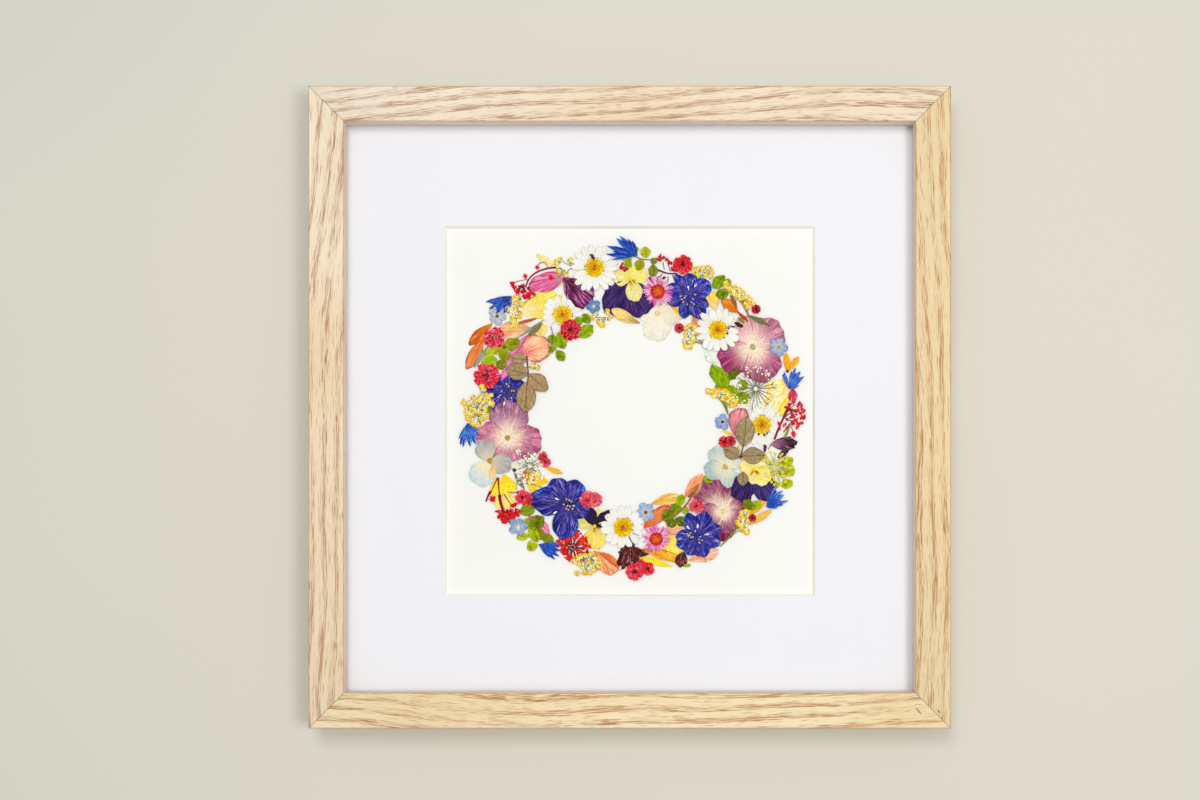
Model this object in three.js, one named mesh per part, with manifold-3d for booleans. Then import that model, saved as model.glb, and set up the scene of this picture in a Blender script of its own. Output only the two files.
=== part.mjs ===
// A pressed flower picture: mitred oak rails around glazing, a window mat, a mounting sheet and a backing
// board, with a wreath of dried specimens laid flat on the sheet. Millimetres, +Z up, the picture faces -Y.
// The origin is the hanging point: the notch at the middle of the hanger, on the plane of the wall.
import * as THREE from "three";
import { mergeVertices } from "three/addons/utils/BufferGeometryUtils.js";
import Module from "manifold-3d";

const wasm = await Module();
wasm.setup();

// Rails
const frameSide = 334;
const railWidth = 18.5;
const railDepth = 25;
const lipDepth = 10; // solid wood in front of the rebate
const lipOverhang = 4.5; // how far the lip covers the glazing
const mitreGap = 0.1;
const wallGap = 2.6; // the hanger stands this far behind the rails
const hangDrop = 7; // from the frame's top edge down to the hanging point

// What lies in the rebate, from the lip backwards
const glassThickness = 2;
const matThickness = 2;
const sheetThickness = 0.5;
const boardThickness = 3;
const layGap = 0.05;
const edgeGap = 0.5;
const windowSide = 193;
const windowBevel = 1; // how far the cut edge slopes outwards over the mat's thickness
const windowDrop = 1.5; // the window's centre below the frame's centre

// Tabs that hold the board in
const tabWidth = 8;
const tabReach = 9;
const tabRoot = 5; // the length that is driven into the rail
const tabThickness = 0.6;
const tabOffset = 80; // from the middle of each rail
const slotGap = 0.1;

// Hanger and its screws
const hangerLength = 44;
const hangerEar = 6;
const hangerSheet = 0.9;
const hangerTop = 5;
const toothDepth = 1.6;
const toothPitch = 3;
const toothCount = 9;
const screwOffset = 19;
const screwHeadRadius = 2.6;
const screwRadius = 1.3;
const screwLength = 9;
const screwHoleGap = 0.25;

// Specimens
const specimenThickness = 0.2;
const layerPitch = 0.27;

// Depths along Y, all negative: the wall is at 0
const railBack = -wallGap;
const railFront = railBack - railDepth;
const lipBack = railFront + lipDepth;
const glassBack = lipBack + layGap + glassThickness;
const matFront = glassBack + layGap;
const matBack = matFront + matThickness;
const sheetFront = matBack + layGap;
const sheetBack = sheetFront + sheetThickness;
const boardFront = sheetBack + layGap;
const boardBack = boardFront + boardThickness;
const tabFront = boardBack + layGap;
const rebateSide = frameSide - 2 * (railWidth - lipOverhang);
const sheetSide = rebateSide - 2 * edgeGap;
const frameCentreZ = hangDrop - frameSide / 2;

// Materials
const finish = (color, roughness, metalness = 0) =>
  new THREE.MeshStandardMaterial({ color, roughness, metalness });
const oak = finish("#e3c795", 0.55);
const steel = finish("#b9bcbf", 0.35, 1);
const brass = finish("#c9a85a", 0.35, 1);
const glass = new THREE.MeshStandardMaterial({
  color: "#f4f8f7",
  roughness: 0.05,
  transparent: true,
  opacity: 0.15,
});
const matBoard = finish("#f1f2f7", 0.9);
const paper = finish("#f9f8f4", 0.95);
const fibreboard = finish("#a9835a", 0.9);

const root = new THREE.Group();

// Adds one named piece to a group
function addPiece(group, name, geometry, material) {
  const mesh = new THREE.Mesh(geometry, material);
  mesh.name = name;
  group.add(mesh);
  return mesh;
}

// A closed geometry as a solid that can be cut and joined, and back
function toSolid(geometry) {
  const bare = geometry.clone();
  bare.deleteAttribute("normal");
  bare.deleteAttribute("uv");
  const merged = mergeVertices(bare, 1e-4);
  return new wasm.Manifold(
    new wasm.Mesh({
      numProp: 3,
      vertProperties: merged.attributes.position.array,
      triVerts: merged.index.array,
    }),
  );
}

function toGeometry(solid) {
  const { vertProperties, triVerts } = solid.getMesh();
  const geometry = new THREE.BufferGeometry();
  geometry.setAttribute("position", new THREE.BufferAttribute(vertProperties, 3));
  geometry.setIndex(new THREE.BufferAttribute(triVerts, 1));
  geometry.computeVertexNormals();
  return geometry;
}

const cut = (body, tools) =>
  toGeometry(tools.reduce((left, tool) => left.subtract(toSolid(tool)), toSolid(body)));

const join = (parts) =>
  toGeometry(parts.map(toSolid).reduce((whole, part) => whole.add(part)));

// A flat outline drawn as the front shows it, X to the right and Z up, made solid from Y = 0 forwards
function slab(shape, thickness, curveSegments = 6) {
  const geometry = new THREE.ExtrudeGeometry(shape, {
    depth: thickness,
    bevelEnabled: false,
    curveSegments,
  });
  return geometry.rotateX(Math.PI / 2);
}

// ---- Rails: one L-shaped section, mitred at both ends, turned to each side
const frame = new THREE.Group();
frame.position.z = frameCentreZ;
root.add(frame);

function railGeometry() {
  const section = new THREE.Shape([
    new THREE.Vector2(0, railFront),
    new THREE.Vector2(railWidth, railFront),
    new THREE.Vector2(railWidth, lipBack),
    new THREE.Vector2(railWidth - lipOverhang, lipBack),
    new THREE.Vector2(railWidth - lipOverhang, railBack),
    new THREE.Vector2(0, railBack),
  ]);
  const geometry = new THREE.ExtrudeGeometry(section, { depth: 1, bevelEnabled: false });
  const points = geometry.attributes.position;
  for (let i = 0; i < points.count; i += 1) {
    const fromEdge = points.getX(i);
    const end = points.getZ(i) > 0.5 ? 1 : -1;
    const along = end * (frameSide / 2 - fromEdge - mitreGap / 2);
    points.setXYZ(i, along, points.getY(i), frameSide / 2 - fromEdge);
  }
  return geometry;
}

// The slot that a tab is driven into, with a little room round it
function slotGeometry(offset) {
  const slot = new THREE.BoxGeometry(
    tabWidth + 2 * slotGap,
    tabThickness + 2 * slotGap,
    tabRoot + slotGap,
  );
  const depthMiddle = tabFront + tabThickness / 2;
  return slot.translate(offset, depthMiddle, rebateSide / 2 + (tabRoot + slotGap) / 2);
}

function screwHole(offset) {
  const hole = new THREE.CylinderGeometry(
    screwRadius + screwHoleGap,
    screwRadius + screwHoleGap,
    2 * screwLength,
    12,
  );
  return hole.translate(offset, railBack, -frameCentreZ + hangerTop / 2);
}

function tabGeometry() {
  const shape = new THREE.Shape();
  const radius = tabWidth / 2;
  shape.moveTo(-radius, tabRoot);
  shape.lineTo(-radius, radius - tabReach);
  shape.absarc(0, radius - tabReach, radius, Math.PI, 2 * Math.PI, false);
  shape.lineTo(radius, tabRoot);
  shape.closePath();
  return slab(shape, tabThickness, 10);
}

const rails = [
  { name: "rail_top", tabs: ["tab_top_left", "tab_top_right"] },
  { name: "rail_right", tabs: ["tab_right_upper", "tab_right_lower"] },
  { name: "rail_bottom", tabs: ["tab_bottom_right", "tab_bottom_left"] },
  { name: "rail_left", tabs: ["tab_left_lower", "tab_left_upper"] },
];

rails.forEach(({ name, tabs }, quarter) => {
  const side = new THREE.Group();
  side.rotation.y = (quarter * Math.PI) / 2;
  frame.add(side);
  const tools = [slotGeometry(-tabOffset), slotGeometry(tabOffset)];
  if (name === "rail_top") {
    tools.push(screwHole(-screwOffset), screwHole(screwOffset));
  }
  addPiece(side, name, cut(railGeometry(), tools), oak);
  tabs.forEach((tabName, i) => {
    const tab = addPiece(side, tabName, tabGeometry(), steel);
    const offset = i === 0 ? -tabOffset : tabOffset;
    tab.position.set(offset, tabFront + tabThickness, rebateSide / 2);
  });
});

// ---- Glazing, window mat, mounting sheet and backing board
function sheetPiece(name, front, thickness, material) {
  const geometry = new THREE.BoxGeometry(sheetSide, thickness, sheetSide);
  const piece = addPiece(frame, name, geometry, material);
  piece.position.y = front + thickness / 2;
  return piece;
}

function windowTool() {
  const overcut = 1;
  const slope = windowBevel / matThickness;
  const frontHalf = windowSide / 2 + windowBevel + overcut * slope;
  const backHalf = windowSide / 2 - overcut * slope;
  const tool = new THREE.CylinderGeometry(
    backHalf * Math.SQRT2,
    frontHalf * Math.SQRT2,
    matThickness + 2 * overcut,
    4,
  );
  return tool.rotateY(Math.PI / 4).translate(0, 0, -windowDrop);
}

sheetPiece("glazing", lipBack + layGap, glassThickness, glass);
const windowMat = sheetPiece("window_mat", matFront, matThickness, matBoard);
windowMat.geometry = cut(windowMat.geometry, [windowTool()]);
sheetPiece("mounting_sheet", sheetFront, sheetThickness, paper);
sheetPiece("backing_board", boardFront, boardThickness, fibreboard);

// ---- Hanger: a raised strip with a notched lower edge and a screw at each end
function hangerGeometry() {
  const half = hangerLength / 2;
  const foot = half - hangerEar;
  const rise = 2;
  const base = railBack + layGap;
  const strip = new THREE.Shape([
    new THREE.Vector2(-half, base),
    new THREE.Vector2(-foot + hangerSheet / 2, base),
    new THREE.Vector2(-foot + rise + hangerSheet / 2, -hangerSheet),
    new THREE.Vector2(foot - rise - hangerSheet / 2, -hangerSheet),
    new THREE.Vector2(foot - hangerSheet / 2, base),
    new THREE.Vector2(half, base),
    new THREE.Vector2(half, base + hangerSheet),
    new THREE.Vector2(foot, base + hangerSheet),
    new THREE.Vector2(foot - rise, 0),
    new THREE.Vector2(rise - foot, 0),
    new THREE.Vector2(-foot, base + hangerSheet),
    new THREE.Vector2(-half, base + hangerSheet),
  ]);
  const body = new THREE.ExtrudeGeometry(strip, {
    depth: hangerTop + toothDepth,
    bevelEnabled: false,
  }).translate(0, 0, -toothDepth);
  const tools = [];
  for (let i = 0; i < toothCount; i += 1) {
    const x = (i - (toothCount - 1) / 2) * toothPitch;
    const notch = new THREE.Shape([
      new THREE.Vector2(x - 1.3, -toothDepth - 0.2),
      new THREE.Vector2(x + 1.3, -toothDepth - 0.2),
      new THREE.Vector2(x, 0),
    ]);
    tools.push(slab(notch, 4).translate(0, 1, 0));
  }
  for (const x of [-screwOffset, screwOffset]) {
    const radius = screwRadius + screwHoleGap;
    const hole = new THREE.CylinderGeometry(radius, radius, 8, 12);
    tools.push(hole.translate(x, base, hangerTop / 2));
  }
  return cut(body, tools);
}

function screwGeometry() {
  const seat = railBack + 2 * layGap + hangerSheet;
  const profile = [
    new THREE.Vector2(0, seat - screwLength),
    new THREE.Vector2(screwRadius, seat - screwLength + screwRadius),
    new THREE.Vector2(screwRadius, seat),
    new THREE.Vector2(screwHeadRadius, seat),
    new THREE.Vector2(screwHeadRadius * 0.9, seat + 0.7),
    new THREE.Vector2(screwHeadRadius * 0.45, seat + 1.1),
    new THREE.Vector2(0, seat + 1.2),
  ];
  return new THREE.LatheGeometry(profile, 16);
}

addPiece(root, "hanger", hangerGeometry(), brass);
const screws = { hanger_screw_left: -screwOffset, hanger_screw_right: screwOffset };
for (const [name, x] of Object.entries(screws)) {
  addPiece(root, name, screwGeometry(), brass).position.set(x, 0, hangerTop / 2);
}

// ---- Specimen outlines. A petal is { turn, length, width }: turn in degrees, anticlockwise from +X.
const petal = (turn, length, width) => ({ turn, length, width });

const petals = (...rows) => rows.map((row) => petal(...row));

const ring = (count, length, width, first = 0) =>
  Array.from({ length: count }, (_, i) => petal(first + (i * 360) / count, length, width));

// How far an elliptical petal that starts at the centre reaches in one direction
function petalReach({ turn, length, width }, angle) {
  const off = angle - THREE.MathUtils.degToRad(turn);
  const cosine = Math.cos(off);
  if (cosine <= 0) {
    return 0;
  }
  const a = length / 2;
  const b = width / 2;
  return (2 * a * b * b * cosine) / (b * b * cosine ** 2 + a * a * Math.sin(off) ** 2);
}

// The outline of petals that all start at the flower's centre
function rosette(petals, core, steps = 48) {
  const outline = [];
  for (let i = 0; i < steps; i += 1) {
    const angle = (i / steps) * 2 * Math.PI;
    const reach = Math.max(core, ...petals.map((each) => petalReach(each, angle)));
    outline.push(new THREE.Vector2(reach * Math.cos(angle), reach * Math.sin(angle)));
  }
  return slab(new THREE.Shape(outline), specimenThickness);
}

// One petal or leaf, from its base at the origin, widest at the given share of its length
function blade({ turn, length, width }, widest = 0.5, blunt = 0.5) {
  const shape = new THREE.Shape();
  const half = (width / 2) * 1.3;
  shape.moveTo(0, 0);
  shape.bezierCurveTo(length * widest * 0.4, half, length * (widest + blunt * 0.7), half, length, 0);
  shape.bezierCurveTo(length * (widest + blunt * 0.7), -half, length * widest * 0.4, -half, 0, 0);
  return slab(shape, specimenThickness, 9).rotateY(-THREE.MathUtils.degToRad(turn));
}

// A straight stretch of stem between two points of the sheet
function stem(fromX, fromZ, toX, toZ, width) {
  const length = Math.hypot(toX - fromX, toZ - fromZ);
  const bar = new THREE.BoxGeometry(length, specimenThickness, width);
  bar.translate(length / 2, -specimenThickness / 2, 0);
  bar.rotateY(-Math.atan2(toZ - fromZ, toX - fromX));
  return bar.translate(fromX, 0, fromZ);
}

const placed = (geometry, x, z) => geometry.translate(x, 0, z);

const daisy = (count, length, width, core) => rosette(ring(count, length, width), core, count * 4);

// A flower head of short lobes on one stem
const head = (lobes, core, stemX, stemZ) =>
  join([rosette(lobes, core, 40), stem(0, 0, stemX, stemZ, 0.9)]);

// ---- The wreath: each specimen's place from the window's centre, and its layer above the sheet
const wreath = new THREE.Group();
wreath.position.set(0, sheetFront - layGap, frameCentreZ - windowDrop);
root.add(wreath);

function specimen(name, x, z, layer, geometry, color) {
  const piece = addPiece(wreath, name, geometry, finish(color, 0.85));
  piece.position.set(x, -layer * layerPitch, z);
}

// Daisies
specimen("daisy_1", -18.6, 75.8, 3, daisy(17, 13.6, 4.6, 5.5), "#f7f4e8");
specimen("daisy_2", -35.5, 51.0, 1, daisy(16, 11.8, 4.4, 5.4), "#f7f4e8");
specimen("daisy_3", 46.4, 43.0, 5, daisy(16, 12.6, 4.8, 5.3), "#f7f4e8");
specimen("daisy_4", 69.6, -7.1, 1, daisy(15, 12.0, 4.8, 5.1), "#f7f4e8");
specimen("daisy_5", -3.6, -61.2, 3, daisy(15, 12.0, 4.8, 5.5), "#f7f4e8");

// Hydrangea florets
specimen(
  "hydrangea_mauve_left", -64.5, -14.0, 1,
  rosette(petals([86, 20, 21], [182, 16, 18], [-12, 18.5, 17], [-72, 12, 17]), 3),
  "#c58ab0",
);
specimen(
  "hydrangea_mauve_right", 64.8, 34.1, 2,
  rosette(petals([38, 19, 20], [118, 17, 17], [208, 20, 18], [-62, 19, 20]), 3),
  "#c993b4",
);
specimen(
  "hydrangea_magenta", 49.3, -52.5, 1,
  rosette(petals([128, 20, 18], [34, 17, 18], [-95, 16, 14], [-165, 12, 12]), 3),
  "#8d3a72",
);
specimen(
  "hydrangea_cream_top", 14.4, 51.8, 0,
  rosette(petals([-92, 15.5, 15], [98, 12, 14], [20, 11, 12], [165, 8, 10]), 3),
  "#f2e6cd",
);
specimen(
  "hydrangea_pale_left", -74.0, -26.1, 2,
  rosette(petals([112, 11.5, 11], [-118, 14.5, 14.5], [-14, 12, 11]), 2.5),
  "#dfe3d8",
);
specimen(
  "hydrangea_pale_right", 50.3, -29.3, 2,
  rosette(petals([122, 12.5, 11], [196, 11.5, 11], [-72, 11.5, 10], [38, 10.5, 10]), 2.5),
  "#d5dcd2",
);

// Larkspurs
specimen(
  "larkspur_left", -64.5, 10.3, 0,
  rosette(petals([110, 10, 9], [28, 10, 9], [178, 11.5, 9], [222, 12.5, 9], [-50, 7, 8]), 3),
  "#2a2a8c",
);
specimen(
  "larkspur_bottom_left", -32.3, -48.8, 3,
  rosette(petals([176, 20, 14], [122, 15.5, 11], [72, 13, 12], [-22, 11.5, 10], [-102, 18.5, 12.5]), 4),
  "#463a94",
);
specimen(
  "larkspur_bottom_right", 35.3, -65.7, 3,
  rosette(petals([112, 11.5, 8], [42, 13.5, 12], [-20, 13, 10], [-72, 12, 9], [182, 11.5, 9]), 4),
  "#3c38a0",
);
specimen(
  "larkspur_top", 30.0, 60.5, 3,
  rosette(petals([98, 9, 8], [38, 11.5, 9], [-48, 12.5, 9], [-110, 9, 7], [168, 8, 8]), 3),
  "#3b2f96",
);

// Violas
specimen(
  "viola_top", 0.5, 69.5, 2,
  rosette(petals([-128, 20, 17], [-72, 17, 15], [168, 9.5, 9], [28, 9.5, 9], [88, 8, 9]), 3),
  "#5a3b86",
);
specimen(
  "viola_right", 65.7, -34.5, 3,
  rosette(petals([-128, 15.5, 13], [-52, 15.5, 13], [128, 8.5, 9], [48, 9.5, 10]), 3),
  "#4a327c",
);
specimen(
  "viola_bottom", -18.6, -60.5, 1,
  rosette(petals([62, 9.5, 9], [158, 11, 8], [-88, 12.5, 13], [-20, 7, 7], [112, 11, 7]), 3),
  "#f0df86",
);

// Asters
specimen("aster_top", 14.7, 63.1, 4, rosette(ring(14, 8.0, 2.6), 5.4, 56), "#f07fc0");
specimen("aster_bottom", 13.9, -67.3, 4, rosette(ring(14, 7.6, 2.5), 5.2, 56), "#f07fc0");

// Lace umbels
specimen("lace_right", 66.4, 11.9, 4, rosette(ring(14, 12.4, 2.6, 8), 3, 70), "#e9e3c8");
specimen("lace_left", -52.9, -28.8, 3, rosette(ring(12, 9.6, 2.8, 5), 3, 60), "#e9e3c8");
specimen("red_lace", -30.2, -71.6, 2, rosette(ring(11, 9.2, 3.6, 14), 4, 66), "#b31f2a");

// Carnations
specimen("carnation_left_upper", -71.6, 38.8, 3, rosette(ring(9, 5.9, 4.2), 4.6, 54), "#d51f3c");
specimen("carnation_left_lower", -75.6, 18.7, 4, rosette(ring(10, 7.2, 4.6), 5.6, 60), "#d51f3c");
specimen("carnation_top", 27.9, 77.4, 3, rosette(ring(9, 5.4, 4), 4.2, 54), "#d51f3c");
specimen("carnation_inner", -31.3, 43.0, 4, rosette(ring(8, 5.6, 4.4), 4, 48), "#c8102a");

// Cornflower tufts
specimen(
  "cornflower_top_left", -62.4, 61.0, 2,
  rosette(petals([196, 14, 4], [211, 13.5, 4], [226, 12.5, 4], [243, 10, 4], [256, 6.5, 3]), 1.4, 56),
  "#2a55c0",
);
specimen(
  "cornflower_left", -85.6, -6.1, 3,
  rosette(petals([248, 12, 4], [262, 12.6, 4], [276, 12.4, 4], [292, 12, 4], [320, 8.4, 3.6]), 1.8, 56),
  "#2a55c0",
);
specimen(
  "cornflower_bottom", -48.2, -70.0, 3,
  rosette(petals([-6, 12, 3.4], [-20, 12.2, 3.4], [-32, 12.4, 3.4], [-46, 11.6, 3.4]), 2, 56),
  "#1f4fb4",
);
specimen(
  "cornflower_bottom_right", 71.7, -50.4, 4,
  rosette(petals([64, 11.8, 2.6], [47, 12.4, 3.6], [34, 11.6, 3.4], [13, 12, 3.4], [0, 6, 3]), 1.4, 56),
  "#2a5fc8",
);
specimen(
  "cornflower_right", 83.8, 11.9, 3,
  rosette(petals([108, 9, 3.4], [75, 11.4, 3.6], [58, 11, 3.6], [42, 10.2, 3.4], [18, 5.6, 3]), 2.2, 56),
  "#3d63cc",
);
specimen(
  "cornflower_top", 4.1, 82.1, 4,
  rosette(
    petals([112, 8.4, 3.4], [128, 13.6, 3.8], [141, 14.4, 3.8], [163, 16.6, 4], [180, 16.4, 3.6]),
    1.6,
    56,
  ),
  "#2f5fd0",
);

// Yarrow heads
specimen(
  "achillea_left", -80.9, 1.6, 5,
  head([...ring(9, 8.4, 5, 10), petal(-92, 11, 7), petal(85, 8, 7)], 6, 0.2, 15),
  "#f2c730",
);
specimen(
  "achillea_bottom", -23.6, -80.5, 3,
  head([...ring(9, 7.4, 5, 15), petal(8, 9.4, 5), petal(178, 6, 5)], 5, -10.6, 4.4),
  "#f2c730",
);

// Rose leaflets on their stalks
specimen(
  "rose_spray_left", -53.6, 15.0, 5,
  join([
    placed(blade(petal(176, 8, 6.6)), -0.8, 12.4),
    placed(blade(petal(166, 11.6, 9.2)), -0.3, 4.6),
    placed(blade(petal(-42, 13, 9)), 0.3, 4.6),
    placed(blade(petal(-94, 16.2, 10.4)), -0.6, 0.6),
    stem(-0.8, 14.4, 0, 4.4, 0.8),
    stem(0, 5, -0.6, -1.5, 0.8),
  ]),
  "#b09a70",
);
specimen(
  "rose_spray_right", 58.4, -24.2, 5,
  join([
    placed(blade(petal(84, 16, 10.2)), 1.4, 5.6),
    placed(blade(petal(2, 12.4, 9)), 0.4, 0.6),
    placed(blade(petal(150, 9.6, 7.2)), -0.4, 0),
    stem(0, -1, 1.6, 6.8, 0.8),
    stem(1.2, 0.4, -1.4, 0.2, 0.9),
  ]),
  "#a8946a",
);

// Loose petals
specimen("petal_yellow_top", -57.4, 52.0, 0, blade(petal(20, 24.5, 16)), "#f6e08c");
specimen("petal_coral", -56.4, 27.6, 4, blade(petal(38, 16, 13.5)), "#e88f78");
specimen("petal_maroon_top", -35.2, 70.6, 2, blade(petal(-42, 21, 13)), "#8a3b6e");
specimen("petal_salmon", 54.6, -11.6, 4, blade(petal(68, 14, 11)), "#e9998c");

export default root;
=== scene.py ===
import math
import random

import bmesh
import bpy
from mathutils import Matrix, Vector, noise


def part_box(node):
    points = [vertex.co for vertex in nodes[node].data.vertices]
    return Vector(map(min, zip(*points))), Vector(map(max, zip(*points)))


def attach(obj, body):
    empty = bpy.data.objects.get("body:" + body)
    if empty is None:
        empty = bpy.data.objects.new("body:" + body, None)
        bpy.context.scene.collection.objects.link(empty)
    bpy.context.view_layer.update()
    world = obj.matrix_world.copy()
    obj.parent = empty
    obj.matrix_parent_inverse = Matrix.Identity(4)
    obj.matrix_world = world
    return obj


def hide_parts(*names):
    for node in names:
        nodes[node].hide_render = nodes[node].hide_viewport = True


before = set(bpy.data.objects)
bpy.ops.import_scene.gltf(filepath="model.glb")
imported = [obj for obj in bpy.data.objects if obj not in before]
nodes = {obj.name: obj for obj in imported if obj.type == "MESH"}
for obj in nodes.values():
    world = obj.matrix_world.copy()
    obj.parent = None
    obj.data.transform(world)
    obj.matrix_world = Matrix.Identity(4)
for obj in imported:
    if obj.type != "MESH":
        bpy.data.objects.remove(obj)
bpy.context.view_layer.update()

random.seed(7)
scene = bpy.context.scene
mm = 0.001

# places that the frame gives: the paper's front face and the middle of the window
windowDrop = 1.5 * mm
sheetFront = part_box("mounting_sheet")[0].y
matLow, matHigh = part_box("window_mat")
windowCentre = Vector(((matLow.x + matHigh.x) / 2, sheetFront, (matLow.z + matHigh.z) / 2 - windowDrop))
# specimens are drawn in mm on the paper, x right, y up, z towards the viewer, and this puts them in place
onSheet = Matrix.Translation(windowCentre) @ Matrix.Rotation(math.pi / 2, 4, "X") @ Matrix.Scale(mm, 4)
layers = {"first": 0.05, "pitch": 0.27, "petal": 0.12}


def layerLift(layer):
    return layers["first"] + layers["pitch"] * layer


# camera, lights and backdrop

studio = {
    "lens": 50,
    "eye": (7.95 * mm, -893.6 * mm, -209.3 * mm),
    "shift": (-0.0375, 0.085),
    "wallColour": "dad7cb",
    "floorColour": "dedbd2",
    "wallHalfSize": (3, 2, 1, 1),
    "wallGap": 0.3 * mm,
    "floorHalfSize": 4.0,
    "floorDrop": 1.3,
    # painted shade colour for the wall's corner farthest from the lights
    "cornerShadeColour": "cfd1c8",
    "corner": (-0.36, 0, 0.23),
    "lightAim": (0, 0, -0.16),
    "lights": {    # watts, diameter, place and tone
        "key_right": (7.9, 0.46, (0.52, -1.5, -0.24), "fffdf9"),
        "top_left": (6.9, 0.55, (-0.16, -1.5, 0.28), "fdfdff"),
        "behind": (6.0, 1.2, (0.5, 1.6, 0.5), "ffffff"),
    },
    "skyStrength": 0.54,
}


def colour(text):    # sRGB hex to linear
    parts = [int(text[i:i + 2], 16) / 255 for i in (0, 2, 4)]
    return (*[p / 12.92 if p <= 0.04045 else ((p + 0.055) / 1.055) ** 2.4 for p in parts], 1.0)


def addNode(tree, kind, settings=None, links=None):    # a link from a node is from its first output
    node = tree.nodes.new("ShaderNode" + kind)
    for key, value in (settings or {}).items():
        if isinstance(key, str) and hasattr(node, key):
            setattr(node, key, value)
        else:
            node.inputs[key].default_value = value
    for key, source in (links or {}).items():
        socket = source.outputs[0] if hasattr(source, "outputs") else source
        tree.links.new(socket, node.inputs[key])
    return node


def emptyMaterial(name):
    material = bpy.data.materials.new(name)
    material.use_nodes = True
    material.node_tree.nodes.clear()
    return material, material.node_tree


def link(name, data):
    thing = bpy.data.objects.new(name, data)
    scene.collection.objects.link(thing)
    return thing


def makeCamera():
    data = bpy.data.cameras.new("camera")
    data.lens = studio["lens"]
    data.sensor_width = 36
    data.shift_x, data.shift_y = studio["shift"]
    camera = link("camera", data)
    camera.location = studio["eye"]
    camera.rotation_euler = (math.radians(90), 0, 0)
    scene.camera = camera


def makeLight(name, watts, size, place, tone):
    data = bpy.data.lights.new(name, "AREA")
    data.energy = watts
    data.shape = "DISK"
    data.size = size
    data.color = colour(tone)[:3]
    light = link(name, data)
    light.location = place
    ahead = Vector(studio["lightAim"]) - Vector(place)
    light.rotation_euler = ahead.to_track_quat("-Z", "Y").to_euler()
    light.visible_glossy = False


def wallMaterial():
    # matt emulsion on plaster, with a roller's faint orange peel; seen from behind it is clear
    material, tree = emptyMaterial("matt_emulsion")
    place = addNode(tree, "TexCoord").outputs["Object"]
    tone = addNode(tree, "TexNoise", {"Scale": 3.0, "Detail": 2.0}, {"Vector": place})
    paint = addNode(tree, "Mix", {"data_type": "RGBA", 6: colour(studio["wallColour"]),
                                  7: colour("dfdcd1")}, {0: tone})
    # painted shade: the corner that is farthest from the lights is painted duller and cooler
    away = addNode(tree, "VectorMath", {"operation": "DISTANCE", 1: studio["corner"]}, {0: place})
    dull = addNode(tree, "MapRange", {"interpolation_type": "SMOOTHSTEP", "From Max": 0.34, "To Min": 0.85,
                                      "To Max": 0.0}, {"Value": away.outputs["Value"]})
    paint = addNode(tree, "Mix", {"data_type": "RGBA", 7: colour(studio["cornerShadeColour"])},
                    {0: dull, 6: paint.outputs[2]})
    peel = addNode(tree, "TexNoise", {"Scale": 700.0, "Detail": 2.0}, {"Vector": place})
    bump = addNode(tree, "Bump", {"Strength": 0.08, "Distance": 0.0004}, {"Height": peel})
    shader = addNode(tree, "BsdfPrincipled", {"Roughness": 0.9},
                     {"Base Color": paint.outputs[2], "Normal": bump})
    clear = addNode(tree, "BsdfTransparent")
    facing = addNode(tree, "NewGeometry")
    both = addNode(tree, "MixShader", {}, {0: facing.outputs["Backfacing"], 1: shader, 2: clear})
    addNode(tree, "OutputMaterial", {}, {"Surface": both})
    return material


def makeStage():
    wall = bmesh.new()
    bmesh.ops.create_grid(wall, x_segments=1, y_segments=1, size=1.0)
    upright = Matrix.Rotation(math.pi / 2, 4, "X") @ Matrix.Diagonal(studio["wallHalfSize"])
    bmesh.ops.transform(wall, matrix=Matrix.Translation((0, studio["wallGap"], 0)) @ upright,
                        verts=wall.verts)
    floor = bmesh.new()
    bmesh.ops.create_grid(floor, x_segments=1, y_segments=1, size=studio["floorHalfSize"])
    bmesh.ops.translate(floor, vec=(0, 0, -studio["floorDrop"]), verts=floor.verts)
    paint = wallMaterial()
    ground, tree = emptyMaterial("pale_floor")
    shader = addNode(tree, "BsdfPrincipled", {"Base Color": colour(studio["floorColour"]),
                                              "Roughness": 0.8})
    addNode(tree, "OutputMaterial", {}, {"Surface": shader})
    for name, mesh, material in (("wall", wall, paint), ("floor", floor, ground)):
        data = bpy.data.meshes.new(name)
        mesh.to_mesh(data)
        mesh.free()
        data.materials.append(material)
        thing = link(name, data)
        thing.visible_diffuse = False
        thing.visible_glossy = False
        thing.visible_transmission = False
        thing.visible_shadow = False


def makeLights():
    for name, values in studio["lights"].items():
        makeLight(name, *values)
    world = bpy.data.worlds.new("studio")
    world.use_nodes = True
    scene.world = world
    tree = world.node_tree
    tree.nodes.clear()
    sky = addNode(tree, "Background", {"Color": colour("f4f4f2"), "Strength": studio["skyStrength"]})
    addNode(tree, "OutputWorld", {}, {"Surface": sky})
    scene.view_settings.view_transform = "Standard"
    scene.cycles.transparent_max_bounces = 32


makeCamera()
makeStage()
makeLights()
print("camera, stage and lights are in place")


# the frame's oak, paper, board and metal

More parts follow.
